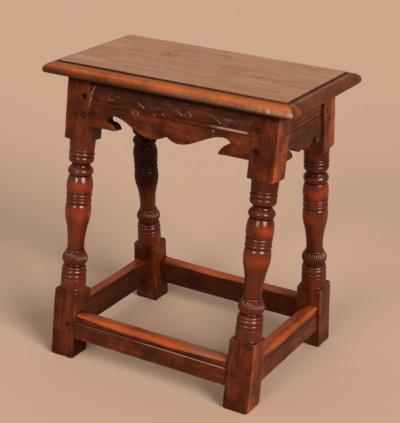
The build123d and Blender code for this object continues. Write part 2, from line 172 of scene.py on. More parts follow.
def grid_faces(rows, columns, closed):
    """Quads between rows of points; closed joins the last column to the first."""
    start = np.arange(rows - 1)[:, None] * columns
    here = np.arange(columns if closed else columns - 1)[None, :]
    after = (here + 1) % columns
    quads = join(start + here, start + after, start + columns + after, start + columns + here)
    return quads.reshape(-1, 4).tolist()


def fan(first, count, middle):
    """Triangles from a ring of points to a point in its middle."""
    return [[first + i, first + (i + 1) % count, middle] for i in range(count)]


def placed(name, data):
    """A new object in the scene."""
    made = bpy.data.objects.new(name, data)
    bpy.context.scene.collection.objects.link(made)
    return made


FLAT_POLISH = 0.3                       # share of a full polish on plain faces


class Piece:
    """One visible object, gathered from shells, that stands for CAD nodes."""

    def __init__(self, name, slot, material):
        self.name, self.slot, self.material = name, slot, material
        self.points, self.faces = [], []
        # the wear mark also carries painted glow, the dirt mark painted shade and shadow, and the fade mark
        # painted highlights and sheen
        self.marks = {"wear": [], "dirt_and_shade": [], "fade_and_sheen": [], "polish": []}
        self.count = 0

    def add(self, points, faces, wear=0.0, dirt_and_shade=0.0, fade_and_sheen=0.0, polish=FLAT_POLISH):
        points = np.asarray(points, float).reshape(-1, 3)
        self.points.append(points)
        self.faces += [[index + self.count for index in face] for face in faces]
        for values, value in zip(self.marks.values(), (wear, dirt_and_shade, fade_and_sheen, polish)):
            values.append(np.broadcast_to(value, len(points)).astype(float))
        self.count += len(points)

    def add_tube(self, rings, *marks):
        """Rings of points, closed at both ends by a fan to the middle."""
        count, across = rings.shape[:2]
        faces = grid_faces(count, across, True)
        faces += fan(0, across, count * across) + fan((count - 1) * across, across, count * across + 1)
        points = np.concatenate([rings.reshape(-1, 3), [rings[0].mean(0), rings[-1].mean(0)]])
        spread = [np.broadcast_to(mark, rings.shape[:2]) for mark in marks]
        self.add(points, faces, *(np.append(mark, [mark[0].mean(), mark[-1].mean()]) for mark in spread))

    def build(self, *nodes):
        mesh = bpy.data.meshes.new(self.name)
        mesh.from_pydata((np.concatenate(self.points) * MM).tolist(), [], self.faces)
        for key, values in self.marks.items():
            layer = mesh.attributes.new(key, "FLOAT", "POINT")
            layer.data.foreach_set("value", np.clip(np.concatenate(values), 0, 1).astype(np.float32))
        shell = bmesh.new()
        shell.from_mesh(mesh)
        bmesh.ops.remove_doubles(shell, verts=shell.verts, dist=1e-6)
        bmesh.ops.recalc_face_normals(shell, faces=shell.faces)
        shell.to_mesh(mesh)
        shell.free()
        mesh.shade_smooth()
        piece = placed(self.name, mesh)
        mesh.materials.append(self.material)
        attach(piece, "root")
        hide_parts(*nodes)
        return piece


def leaning(across, depth, along):
    """World place of a point in the leaning frame of the front legs and rails."""
    return join(across, -FOOT_Y + depth * COS + along * SIN, -depth * SIN + along * COS)


def at_corner(points, corner):
    """Flip front-left points to another corner."""
    side, front = CORNERS[corner]
    return points * np.array([-side, -front, 1.0])


# ---------------------------------------------------------------- wood


class Signal:
    """An output of a shader node. Arithmetic on it adds math nodes to the tree."""

    def __init__(self, tree, socket):
        self.tree, self.socket = tree, socket

    def maths(self, operation, *values):
        made = self.tree.nodes.new("ShaderNodeMath")
        made.operation = operation
        for socket, value in zip(made.inputs, values):
            plug(self.tree, socket, value)
        return Signal(self.tree, made.outputs[0])

    def __add__(self, other):
        return self.maths("ADD", self, other)

    def __sub__(self, other):
        return self.maths("SUBTRACT", self, other)

    def __rsub__(self, other):
        return self.maths("SUBTRACT", other, self)

    def __mul__(self, other):
        return self.maths("MULTIPLY", self, other)

    def clamped(self):
        """The same math node, its result kept within 0 and 1."""
        self.socket.node.use_clamp = True
        return self

    def ramp(self, *stops):
        """A colour ramp from (place, value or colour) stops."""
        made = node(self.tree, "ShaderNodeValToRGB", "Color", Fac=self)
        elements = made.socket.node.color_ramp.elements
        while len(elements) < len(stops):
            elements.new(0.5)
        for element, (place, colour) in zip(elements, stops):
            element.position = place
            element.color = (*np.broadcast_to(colour, 3).tolist(), 1)
        return made

    def choose(self, first, second, blend="MIX"):
        """Two colours mixed, with this signal as the factor."""
        made = self.tree.nodes.new("ShaderNodeMix")
        made.data_type, made.blend_type = "RGBA", blend
        for socket, value in zip((made.inputs[0], *made.inputs[6:8]), (self, first, second)):
            plug(self.tree, socket, value)
        return Signal(self.tree, made.outputs[2])


def plug(tree, socket, value):
    """Link a signal to an input, or set the input to a number, a vector or an RGB colour."""
    if isinstance(value, Signal):
        tree.links.new(value.socket, socket)
    elif socket.type == "RGBA":
        socket.default_value = (*value, 1)
    else:
        socket.default_value = value


def node(tree, kind, output=0, **inputs):
    """An output of a new node. Keys name its inputs; lower-case keys are the node's settings."""
    made = tree.nodes.new(kind)
    for key, value in inputs.items():
        if key[0].islower():
            setattr(made, key, value)
        else:
            name = key.replace("_", " ")
            plug(tree, next(s for s in made.inputs if s.name == name and s.enabled), value)
    return Signal(tree, made.outputs[output]) if len(made.outputs) else None


def wood(name, grain, lean, tones, roughness, seed, faded_and_sheen=None, patchy=1.0):
    """Old waxed oak: grain along one axis, pores, patina, worn arrises and wax in the hollows.

    tones holds the dark, middle and light colours of the grain, the colour of worn arrises, which painted
    glow uses too, and the colour of old wax in the hollows, which painted shade uses too. faded_and_sheen
    holds the three grain colours of bleached wood and that of wood scraped bare, which painted highlights and
    sheen use too, and patchy is how uneven the patina is.
    """
    dark, middle, light, worn, wax = tones
    material = bpy.data.materials.new(name)
    material.use_nodes = True
    tree = material.node_tree
    tree.nodes.clear()
    place = node(tree, "ShaderNodeTexCoord", "Object")

    def noise(vector, scale, detail, rough, distortion=0.0):
        return node(tree, "ShaderNodeTexNoise", "Fac", Vector=vector, Scale=scale, Detail=detail,
                    Roughness=rough, Distortion=distortion)

    def grained(across, along, *look):
        """Noise whose features are so many metres across and along the grain."""
        scale = [across, across, across]
        scale[grain] = along
        vector = node(tree, "ShaderNodeMapping", vector_type="TEXTURE", Vector=place,
                      Location=(seed * 0.37, seed * 0.71, seed * 0.53), Rotation=(lean, 0, 0), Scale=scale)
        return noise(vector, 1.0, *look)

    figure = grained(0.020, 0.16, 7.0, 0.60, 0.8)
    streak = grained(0.0030, 0.070, 5.0, 0.6, 0.2)
    pores = grained(0.00055, 0.009, 2.0, 0.5)
    patch = noise(place, 26.0, 6.0, 0.62)
    speck = noise(place, 420.0, 3.0, 0.6)
    fleck = noise(place, 150.0, 3.0, 0.6)
    wear, dirt_and_shade, fade_and_sheen, polish = (node(tree, "ShaderNodeAttribute", "Fac", attribute_name=key)
                                for key in ("wear", "dirt_and_shade", "fade_and_sheen", "polish"))

    # varnished wood is more even in tone
    varnished = polish.ramp((FLAT_POLISH, 0.0), (1.0, 1.0))
    even = 1.0 - varnished * 0.55
    tone = (figure * 0.64 + streak * 0.36 - 0.5) * even + 0.5
    patch = (patch - 0.5) * even + 0.5

    base = tone.ramp(*zip(GRAIN_STOPS, (dark, middle, light)))
    base = patch.ramp((0.36, 0.75 * patchy), (0.54, 0.0)).choose(base, dark)
    base = patch.ramp((0.52, 0.0), (0.74, 0.55 * patchy)).choose(base, light)
    # bleached and scraped wood, and painted highlights and sheen, take the pale colours
    if faded_and_sheen:
        base = fade_and_sheen.ramp((0.0, 0.0), (BLEACHED, 1.0)).choose(base, tone.ramp(*zip(GRAIN_STOPS, faded_and_sheen)))
        base = fade_and_sheen.ramp((BLEACHED, 0.0), (1.0, 1.0)).choose(base, faded_and_sheen[3])
    pore_mask = pores.ramp((0.33, 1.0), (0.43, 0.0))
    base = (pore_mask * 0.32).choose(base, wax)
    uneven = (patch - 0.5) * (0.8 * patchy) + (streak - 0.5) * 0.4 + (fleck - 0.5) * 0.8
    # the worn colour stands for real wear, and for painted glow where the wear mark carries it
    ragged = wear + uneven * (1.0 - polish * 0.7)
    worn_mask = ragged.ramp((0.12, 0.0), (0.85, 1.0)) * (wear * 2.0).clamped()
    base = worn_mask.choose(base, worn)
    base = speck.ramp((0.28, 0.7), (0.38, 0.0)).choose(base, wax)
    # old wax in the hollows, and painted shade, darken towards the wax colour
    base = (dirt_and_shade * 0.92).clamped().choose(base, wax)
    base = varnished.choose(base, VARNISH, "MULTIPLY")

    rough = (patch * 0.10 + roughness + dirt_and_shade * 0.15 + pore_mask * 0.12).clamped()
    relief = streak * 0.25 - pore_mask * 0.20 + patch * 0.7
    bump = node(tree, "ShaderNodeBump", Strength=0.55, Distance=0.0008, Height=relief)
    coat = (polish * (COAT_WEIGHT - dirt_and_shade * (COAT_WEIGHT * 0.8))).clamped()
    shader = node(tree, "ShaderNodeBsdfPrincipled", Base_Color=base, Roughness=rough, Normal=bump, IOR=1.5,
                  Specular_IOR_Level=0.05, Specular_Tint=(1.0, 0.58, 0.40),
                  Coat_Weight=coat, Coat_IOR=2.2, Coat_Roughness=0.17)
    node(tree, "ShaderNodeOutputMaterial", Surface=shader)
    return material


GRAIN_STOPS = (0.34, 0.5, 0.66)         # noise values of the dark, middle and light grain
BLEACHED = 0.7                          # fade value of wood that is bleached all through
COAT_WEIGHT = 0.23                      # wax and varnish where the polish is full
VARNISH = (1.0, 0.66, 0.34)             # what full polish lets through of the wood's colour
FRAME_TONES = ((0.030, 0.0068, 0.0032), (0.090, 0.0165, 0.0052), (0.20, 0.042, 0.0115),
               (0.48, 0.092, 0.0170), (0.0095, 0.0036, 0.0023))
# bleached frame colours and bare wood; they also paint highlights on the bead, the scroll and the stretcher's
# scratched line
FRAME_FADED_AND_SHEEN = ((0.16, 0.080, 0.055), (0.36, 0.205, 0.150), (0.50, 0.32, 0.25), (0.72, 0.52, 0.44))
SEAT_TONES = ((0.060, 0.015, 0.0045), (0.155, 0.040, 0.0105), (0.28, 0.080, 0.0200),
              (0.65, 0.146, 0.0190), (0.026, 0.0085, 0.0035))
# bleached seat colours and bare wood; they also paint a sheen of reflected light on the field and on the
# lower nose
SEAT_FADED_AND_SHEEN = ((0.36, 0.160, 0.092), (0.485, 0.240, 0.144), (0.60, 0.320, 0.205), (0.86, 0.56, 0.40))
PEG_TONES = ((0.014, 0.0055, 0.0038), (0.045, 0.0120, 0.0055), (0.095, 0.026, 0.0100),
             (0.26, 0.070, 0.0200), (0.008, 0.0040, 0.0030))
X, Y, Z = 0, 1, 2                       # axes that the grain can follow


# ---------------------------------------------------------------- legs
# from the lower block upwards: share of the turned length, radius shares at both ends, bulge
TURNING = (
    (0.0764, 0.985, 0.980, 0),          # lower collar
    (0.0288, 0.925, 0.920, 0.052),      # astragal
    (0.0325, 0.920, 0.900, 0.068),      # astragal
    (0.0216, 0.900, 0.800, 0.078),      # ovolo closing in
    (0.0090, 0.800, 0.800, 0),          # neck under the bulb
    (0.0685, 0.800, 0.860, 0.155),      # bulb, lower two thirds
    (0.0144, 0.860, 0.745, 0),          # bulb, upper slope
    (0.0144, 0.730, 0.700, 0.035),      # thin ring over the bulb
    (0.1700, 0.655, 0.825, -0.055),     # long taper
    (0.1164, 0.825, 0.985, 0.070),      # swelling of the lower vase
    (0.0300, 0.985, 0.885, 0.027),      # its shoulder
    (0.0240, 0.925, 0.935, 0.055),      # astragal
    (0.0160, 0.945, 0.950, 0),          # plain strip
    (0.0260, 0.925, 0.925, 0.060),      # astragal
    (0.1170, 0.955, 0.845, 0.105),      # upper vase
    (0.0577, 0.810, 0.770, 0.192),      # ring
    (0.0270, 0.770, 0.800, -0.085),     # deep neck
    (0.0415, 0.885, 0.925, 0.064),      # ovolo opening out
    (0.0288, 0.925, 0.925, 0.062),      # astragal
    (0.0162, 0.925, 0.930, 0.030),      # thin astragal
    (0.0639, 0.960, 0.985, 0),          # upper collar
)
BULB_MEMBERS = (5, 6)                   # the members that make the gadrooned bulb
PAINTED_GLOW = ((9, 0.66, 12.0), (14, 0.45, 10.0))  # members with a painted glow where the light falls on their swell: where along them, and how far
RUN_ON = (6, 9, 10)                     # members that carry on the curve of the one below
PROFILE_STEP = 0.25
QUIRK = 0.55                            # extra depth of the groove between two members
GADROONS = 28
GADROON_DEPTH = 2.3
GADROON_TWIST = -0.014                  # turn per millimetre of height
RING = 176                              # points round a leg
# stretches of the turnings with painted shade, most of it under the seat: how much, from where and to where
PAINTED_SHADE = {"front_left": (), "front_right": ((0.55, 380, 500), (0.30, 322, 380), (0.28, 238, 268)),
            "back_left": ((0.95, 248, 500),), "back_right": ((0.28, 355, 500),)}
SHADE_BLUR = 22                          # how softly they begin and end


def turned_profile():
    """Places along the turning, the radius there, and how far it stands over its surroundings."""
    total = sum(member[0] for member in TURNING)
    length = UPPER_BLOCK - FOOT_BLOCK
    along, radius, joints = [], [], [FOOT_BLOCK]
    for share, start, end, bulge in TURNING:
        reach = share / total * length
        t = np.linspace(0, 1, max(4, int(reach / PROFILE_STEP)))
        along.append(joints[-1] + reach * (0.005 + 0.99 * t))
        radius.append(HALF * (start + (end - start) * t + 4 * bulge * t * (1 - t)))
        joints.append(joints[-1] + reach)
    place = np.arange(FOOT_BLOCK, UPPER_BLOCK, PROFILE_STEP)
    outline = np.interp(place, np.concatenate(along), np.concatenate(radius))
    for member, joint in enumerate(joints[:-1]):
        if member and member not in RUN_ON:
            outline -= QUIRK * bell(place - joint, 0.55)
    outline = blurred(outline, 0.30 / PROFILE_STEP)
    standing = outline - blurred(outline, 2.2 / PROFILE_STEP)
    swelling = outline - blurred(outline, 17.0 / PROFILE_STEP)
    return place, outline, standing, swelling, joints


PROFILE = turned_profile()


def chosen_rings(place, outline, spacing=2.4, turn=0.16):
    """A subset of places: no further apart than spacing, and closer where the outline turns."""
    slope = np.arctan(np.gradient(outline, place))
    weight = np.abs(np.diff(place)) / spacing + np.abs(np.diff(slope)) / turn
    total = np.concatenate([[0], np.cumsum(weight)])
    return np.interp(np.linspace(0, total[-1], int(total[-1]) + 2), total, place)


def ring_angles(count):
    """Angles round a leg, closer together at the arrises of the square."""
    t = (np.arange(count // 4) + 0.5) / (count // 4) * 2 - 1
    quarter = math.pi / 4 * (1.35 * t - 0.35 * t ** 3)
    return np.concatenate([quarter + turn * math.pi / 2 for turn in range(4)])


def off_face(angles):
    """Angle away from the middle of the nearest face of the square."""
    return np.abs((angles + math.pi / 4) % (math.pi / 2) - math.pi / 4)


def square_radius(angles, half, arris):
    """Distance from the middle to a square with rounded arrises, at each angle."""
    off = off_face(angles)
    inner = half - arris
    reach = inner * (np.cos(off) + np.sin(off))
    corner = reach + np.sqrt(np.maximum(reach ** 2 - 2 * inner ** 2 + arris ** 2, 0))
    return np.where(np.tan(off) > inner / half, corner, half / np.cos(off))


def block_shape(angles, along, seed):
    """Radius and wear of a square block at one height, its arrises rubbed unevenly and its outer faces
    lighter with wear and painted light.
    """
    side = np.floor((angles % (2 * math.pi)) / (math.pi / 2))
    rub = rubbing(join(side * 90.0, along), 55, seed)
    radius = square_radius(angles, HALF - 0.12 * rub, 1.0 + 1.7 * rub ** 2)
    from_arris = HALF * (1 - np.tan(off_face(angles)))
    wear = bell(from_arris, 1.5 + 3.5 * rub) * (0.05 + 0.40 * rub ** 2)
    # painted light, partly wear: the outer side faces lighter, most near the front arris
    outer = smooth(0.70, 0.74, -np.cos(angles))
    from_front = HALF + radius * np.sin(angles)
    side_light = 0.19 + 0.24 * rub + 0.20 * bell(from_front, 13)
    return radius, np.maximum(wear, outer * side_light)


def leg_pegs():
    """Peg centres in a leg's front and side faces, in the leg's own frame: (face, across, along)."""
    low = LEG_TOP - FRONT_APRON_DEPTH
    found = [("front", SQUARE - PEG_FROM_SHOULDER, LEG_TOP - FRONT_PEGS[0]),
             ("front", SQUARE - PEG_FROM_SHOULDER, low + FRONT_PEGS[1]),
             ("front", SQUARE - BAR_PEG_FROM_SHOULDER, FRONT_BAR_UNDER + FRONT_BAR_DEPTH / 2)]
    for height, inset in ((SEAT_UNDER - SIDE_PEGS[0], PEG_FROM_SHOULDER),
                          (side_apron_low[2] + SIDE_PEGS[1], PEG_FROM_SHOULDER),
                          ((side_bar_low[2] + side_bar_high[2]) / 2, BAR_PEG_FROM_SHOULDER)):
        y = FOOT_Y - leg_inner_y(height) - inset / COS
        found.append(("side", y * COS - height * SIN, y * SIN + height * COS))
    return found


PEGS = leg_pegs()
# how far each peg of PEGS stands out of the wood, and the ones that differ
USUAL_STAND = (0.30, 0.8, 0.2, 0.1, 0.1, 0.1)
ODD_STAND = {("front_left", 0): -1.1, ("front_left", 1): 1.3, ("front_left", 2): 0.5,
             ("front_right", 0): 0.4, ("front_right", 1): -0.9, ("front_right", 2): 0.3}


def peg_stand(corner, number):
    """How far a peg of PEGS stands out of the wood; below 0 it has shrunk into its hole."""
    return ODD_STAND.get((corner, number), USUAL_STAND[number])


def dished(points, corner):
    """Sink the wood round each peg, and how dark it is there; points are (across, depth, along)."""
    dark = np.zeros(points.shape[:2])
    for number, (face, across, along) in enumerate(PEGS):
        flat, deep = (0, 1) if face == "front" else (1, 0)
        far = np.hypot(points[..., flat] - across, points[..., 2] - along)
        near = points[..., deep] < 3
        hole = 1.5 if peg_stand(corner, number) < 0 else 0.3
        loose = (1.0 if number < 2 else 0.5) if face == "front" else 0.15
        sink = hole * np.exp(-(far / 4.9) ** 8) + 0.9 * loose * bell(far - 4.7, 0.9)
        points[..., deep] += sink * near
        stain = np.maximum(0.95 * bell(far - 4.3, 1.5), 0.40 * bell(far, 8.5))
        dark = np.maximum(dark, loose * stain * near)
    return points, dark


def block_rings(rings, angles, low, high, seed):
    """Rings of a plain stretch of a block, closer together at the pegs."""
    near = [along + step for _, _, along in PEGS for step in np.arange(-7.0, 7.1, 0.8)]
    even = np.linspace(low, high, int((high - low) / 3.4)).tolist()
    for place in sorted({*even, *(place for place in near if low < place < high)}):
        radius, wear = block_shape(angles, place, seed)
        rings.append((radius, place, wear, 0.0))


def shoulder_rings(rings, angles, end, outward, seed):
    """Rings that turn from a block's square to the round of the lathe, listed towards the turning."""
    round_radius = HALF * 0.97
    radius, wear = block_shape(angles, end - outward * 2, seed)
    corner = np.clip((radius - round_radius) / (HALF * math.sqrt(2) - round_radius), 0, 1)
    for back, share in ((1.6, 1.0), (0.55, 0.985), (0.12, 0.94), (0.0, 0.86), (0.0, 0.5), (0.0, 0.14)):
        ring = round_radius + (radius - round_radius) * share
        place = end - outward * (back + SHOULDER_FALL * corner * share)
        edge = bell(share - 0.96, 0.05) * corner
        rings.append((ring, place, np.maximum(wear * (share > 0.9), 0.7 * edge), 0.5 * (share < 0.6)))


def turned_rings(rings, angles, low, high, flutes, seed):
    """Rings of the turning between two places; flutes is the gadroons' hand, or 0 for none."""
    place, outline, standing, swelling, joints = PROFILE
    between = (place >= low) & (place <= high)
    for spot in chosen_rings(place[between], outline[between]):
        here = join(np.cos(angles) * HALF, np.sin(angles) * HALF, spot)
        radius, crest, swell = (np.interp(spot, place, line) for line in (outline, standing, swelling))
        radius = radius - 0.14 * (1 + ripple(here, 34, seed))
        rub = 0.7 + 0.3 * ripple(here, 40, seed + 1)
        wear = rub * max(0.32 * smooth(0.10, 0.8, crest), 0.25)
        # painted glow: a bright band where the light falls on the swell of the lower and upper vases
        for member, share, reach in PAINTED_GLOW:
            centre = joints[member] + share * (joints[member + 1] - joints[member])
            wear = wear + 0.31 * rub * bell(spot - centre, reach)
        dirt_and_shade = max(0.85 * smooth(0.15, 0.8, -crest), 0.30 * smooth(0.5, 3.5, -swell))
        if flutes:
            cut = smooth(low - 1.5, low + 2.5, spot) * (1 - smooth(high - 2.0, high + 0.8, spot))
            phase = (angles + flutes * GADROON_TWIST * (spot - low)) * GADROONS / 2
            lobe = np.abs(np.sin(phase)) ** 0.55
            radius -= GADROON_DEPTH * cut * (1 - lobe)
            dirt_and_shade = np.maximum(dirt_and_shade * 0.6, 0.95 * cut * (1 - lobe) ** 0.8)
            wear = np.maximum(wear * 0.4, 0.30 * lobe * cut)
        rings.append((radius, spot, wear, dirt_and_shade))


def foot_rings(rings, angles, seed):
    """The sole, cut level with the floor, and the rubbed edge round it."""
    radius, wear = block_shape(angles, 4.0, seed)
    for inset, lift in ((2.6, 0.0), (1.1, 0.5), (0.35, 1.6), (0.0, 4.0)):
        sole = join(radius * np.cos(angles), radius * np.sin(angles))
        chip = 1 + 0.9 * smooth(0.15, 0.8, ripple(sole, 13, seed + 3))
        ring = radius - inset * chip
        level = (HALF + ring * np.sin(angles)) * TAN
        rings.append((ring, level + lift * chip / COS, np.maximum(wear, 0.5 * (lift * chip < 3)), 0.35))


def add_leg_shell(piece, angles, rings, corner):
    """Turn (radius, along, wear, dirt and shade) rings into one closed shell of a leg, adding painted shade
    on the inner faces under the stretchers and a painted shadow under the seat.
    """
    radius, along, wear, dirt_and_shade = (np.array([np.broadcast_to(ring, angles.shape) for ring in part])
                                 for part in zip(*rings))
    points, dark = dished(join(HALF + radius * np.cos(angles), HALF + radius * np.sin(angles), along), corner)
    front = CORNERS[corner][1] < 0
    turned = smooth(FOOT_BLOCK, FOOT_BLOCK + 4, along) * smooth(UPPER_BLOCK, UPPER_BLOCK - 4, along)
    inner = smooth(0.5, 0.8, np.cos(angles)) * smooth(FOOT_BLOCK, FOOT_BLOCK - 12, along)
    dirt_and_shade = np.maximum(dirt_and_shade, dark)
    # inner faces darker under the stretchers, and on the front legs' foot blocks: old dirt and painted shade
    dirt_and_shade = np.maximum(dirt_and_shade, (0.22 * front + 0.76 * smooth(48, 32, along)) * inner)
    # painted shadow in a band just under the seat
    dirt_and_shade = np.maximum(dirt_and_shade, 0.85 * smooth(LEG_TOP - 18, LEG_TOP - 12, along))
    wear = wear * (1 - dark) * (1 if front else 1 - 0.5 * smooth(FOOT_BLOCK, FOOT_BLOCK - 8, along))
    world = leaning(points[..., 0] - OUTER_X, points[..., 1], points[..., 2])
    world[..., 2] = np.clip(world[..., 2], 0, SEAT_UNDER)
    piece.add_tube(at_corner(world, corner), wear, dirt_and_shade, 0.0, FLAT_POLISH + (1 - FLAT_POLISH) * turned)


def build_leg(corner, material):
    """One leg in three closed shells: foot to neck, gadrooned bulb, thin ring to head."""
    seed = 40 + 10 * list(CORNERS).index(corner)
    side, front = CORNERS[corner]
    joints = PROFILE[4]
    bulb_low, bulb_high = joints[BULB_MEMBERS[0]], joints[BULB_MEMBERS[1] + 1]
    piece = Piece("leg_" + corner + "_wood", "frame_oak", material)

    angles = ring_angles(RING)
    rings = []
    foot_rings(rings, angles, seed)
    block_rings(rings, angles, 11.0, FOOT_BLOCK - 3.5, seed)
    shoulder_rings(rings, angles, FOOT_BLOCK, 1, seed)
    turned_rings(rings, angles, FOOT_BLOCK + 0.3, bulb_low + 1.0, 0, seed)
    add_leg_shell(piece, angles, rings, corner)

    even = np.arange(GADROONS * 12) / (GADROONS * 12) * 2 * math.pi
    rings = []
    turned_rings(rings, even, bulb_low - 0.6, bulb_high + 0.4, side * front, seed)
    add_leg_shell(piece, even, rings, corner)

    rings = []
    turned_rings(rings, angles, bulb_high - 0.5, UPPER_BLOCK - 0.3, 0, seed)
    # painted shade over the stretches listed for this corner
    for dark, low, high in PAINTED_SHADE[corner]:
        rings = [(radius, place, wear, max(dirt_and_shade, dark * smooth(low - SHADE_BLUR, low + SHADE_BLUR, place)
                                           * smooth(high + SHADE_BLUR, high - SHADE_BLUR, place)))
                 for radius, place, wear, dirt_and_shade in rings]
    upper = []
    shoulder_rings(upper, angles, UPPER_BLOCK, -1, seed + 5)
    rings += upper[::-1]
    block_rings(rings, angles, UPPER_BLOCK + 3.5, LEG_TOP + 8.0, seed + 5)
    add_leg_shell(piece, angles, rings, corner)
    return piece.build("leg_" + corner)


# ---------------------------------------------------------------- pegs
PEG_POINTS = 28
# a peg's head from its middle outwards and down: share of the radius, share of what stands proud
PEG_PROFILE = ((0.02, 1.0), (0.45, 0.96), (0.75, 0.80), (0.92, 0.45), (0.99, 0.05), (1.0, -0.5), (1.06, -1.4))
PEG_INSET = 0.35                        # from the block's plane to the rubbed wood's face


def peg_head(proud, seed):
    """Closed shell of a peg along -Z into the wood, its head up; and the dirt of each ring."""
    rng = np.random.default_rng(seed)
    angles = np.arange(PEG_POINTS) / PEG_POINTS * 2 * math.pi
    round_off = (1 + 0.035 * np.cos(angles * 2 + rng.uniform(0, 6))
                 + 0.02 * np.cos(angles * 5 + rng.uniform(0, 6)))
    tilt = rng.uniform(-0.35, 0.35, 2)
    head = 0.45 if proud > 1 else 0.55 if proud > 0.35 else 0.30 if proud > 0.25 else 0.0
    rings, dirt_and_shade = [], []
    for share, height in PEG_PROFILE:
        reach = PEG_RADIUS * 0.96 * share * round_off
        x, y = reach * np.cos(angles), reach * np.sin(angles)
        top = proud * height if height > 0 else height + min(proud, 0)
        slope = (x * tilt[0] + y * tilt[1]) / PEG_RADIUS * 0.5 * proud
        rings.append(join(x, y, top + slope * (height > 0.3)))
        dirt_and_shade.append((head if height > 0.5 else 0.95) if proud > 0 else 0.85)
    rings.append(rings[-1] * np.array([0.9, 0.9, 1]) + np.array([0, 0, -2.0]))
    return np.array(rings), np.array([*dirt_and_shade, 0.9])[:, None]


def add_peg(piece, centre, out, proud, seed):
    """A peg whose head faces along out, at a centre on the wood's face."""
    rings, dirt_and_shade = peg_head(proud, seed)
    turn = np.array(Vector(out).to_track_quat("Z", "Y").to_matrix())
    wear = np.where(dirt_and_shade < 0.35, 0.30 if proud < 0.25 else 0.10, 0.0)
    polish = FLAT_POLISH + (1 - FLAT_POLISH) * min(1, max(0, proud - 0.5))
    piece.add_tube(rings @ turn.T + np.array(centre), wear, dirt_and_shade, 0.0, polish)


def build_leg_pegs(corner, material):
    """The apron pegs and the stretcher pegs of one leg."""
    side, front = CORNERS[corner]
    groups = {kind: Piece(f"{kind}_pegs_{corner}_heads", "peg_oak", material)
              for kind in ("apron", "stretcher")}
    flip = np.array([-side, -front, 1.0])
    for number, (face, across, along) in enumerate(PEGS):
        if face == "front":
            centre, out = leaning(across - OUTER_X, PEG_INSET, along), np.array([0, -COS, SIN])
        else:
            centre, out = leaning(PEG_INSET - OUTER_X, across, along), np.array([-1.0, 0, 0])
        add_peg(groups["stretcher" if number % 3 == 2 else "apron"], centre * flip, out * flip,
                peg_stand(corner, number), 300 + number + 7 * side + 3 * front)
    for kind, piece in groups.items():
        piece.build(f"{kind}_pegs_{corner}")


def build_seat_pegs(material):
    """The four pegs that hold the seat board."""
    piece = Piece("seat_pegs_heads", "peg_oak", material)
    x = OUTER_X - SEAT_PEG[0]
    y = FOOT_Y - SEAT_UNDER * TAN - SEAT_PEG[1]
    for number, (side, front) in enumerate(CORNERS.values()):
        add_peg(piece, (side * x, front * y, seat_high[2] - 0.62), (0, 0, 1), 0.32, 500 + number)
    return piece.build("seat_pegs")


# ---------------------------------------------------------------- curves for outlines


def eased(first, last, leave, arrive, step=1.0):
    """A cubic from first to last that leaves and arrives in given directions."""
    first, last = np.array(first, float), np.array(last, float)
    chord = np.linalg.norm(last - first)
    leave = np.array(leave) / np.linalg.norm(leave) * chord
    arrive = np.array(arrive) / np.linalg.norm(arrive) * chord
    t = np.linspace(0, 1, max(4, int(chord / step)))[:, None]
    return ((2 * t ** 3 - 3 * t ** 2 + 1) * first + (t ** 3 - 2 * t ** 2 + t) * leave
            + (3 * t ** 2 - 2 * t ** 3) * last + (t ** 3 - t ** 2) * arrive)


def arc(first, middle, last, step=0.8):
    """Points on the circle through three points."""
    (ax, ay), (bx, by), (cx, cy) = first, middle, last
    d = 2 * (ax * (by - cy) + bx * (cy - ay) + cx * (ay - by))
    sq = [p[0] ** 2 + p[1] ** 2 for p in (first, middle, last)]
    ox = (sq[0] * (by - cy) + sq[1] * (cy - ay) + sq[2] * (ay - by)) / d
    oy = (sq[0] * (cx - bx) + sq[1] * (ax - cx) + sq[2] * (bx - ax)) / d
    start, mid, end = (math.atan2(p[1] - oy, p[0] - ox) for p in (first, middle, last))
    turn = (end - start) % (2 * math.pi)
    if (mid - start) % (2 * math.pi) > turn:
        turn -= 2 * math.pi
    radius = math.hypot(ax - ox, ay - oy)
    t = np.linspace(0, 1, max(5, int(abs(turn) * radius / step)))
    return join(ox + radius * np.cos(start + turn * t), oy + radius * np.sin(start + turn * t))


# ---------------------------------------------------------------- aprons
FRONT_LEFT_CUT = dict(beak=(57.0, 1.0), back=(51.5, 9.3), notch=(37.0, 17.5), notch_radius=5.0,
                      crown=(51.0, 25.5), lobe=(32.0, 0.5), cusp_rise=11.0)
FRONT_RIGHT_CUT = dict(beak=(58.0, 0.5), back=(51.0, 11.5), notch=(37.0, 22.0), notch_radius=1.6,
                       crown=(50.0, 28.0), lobe=(24.0, 1.5), cusp_rise=11.0)
SIDE_FRONT_CUT = dict(beak=(32.6, 1.9), back=(28.0, 10.0), notch=(17.8, 17.2), notch_radius=2.2,
                      crown=(25.0, 20.2), lobe=(14.0, 3.3), cusp_rise=6.8)
SIDE_BACK_CUT = dict(beak=(21.8, 2.0), back=(22.2, 6.5), notch=(22.0, 12.0), notch_radius=1.4,
                     crown=(26.5, 14.5), lobe=(22.0, 2.3), cusp_rise=6.8)
BEAK_PLAIN_SHARE = 0.75
PLAIN_STEP = 1.6
WALL_ROWS = 7                           # rows of points through an apron's thickness
FRONT_SPLIT, SIDE_SPLIT = 32.0, 22.0    # heights over which an apron's face is an even grid


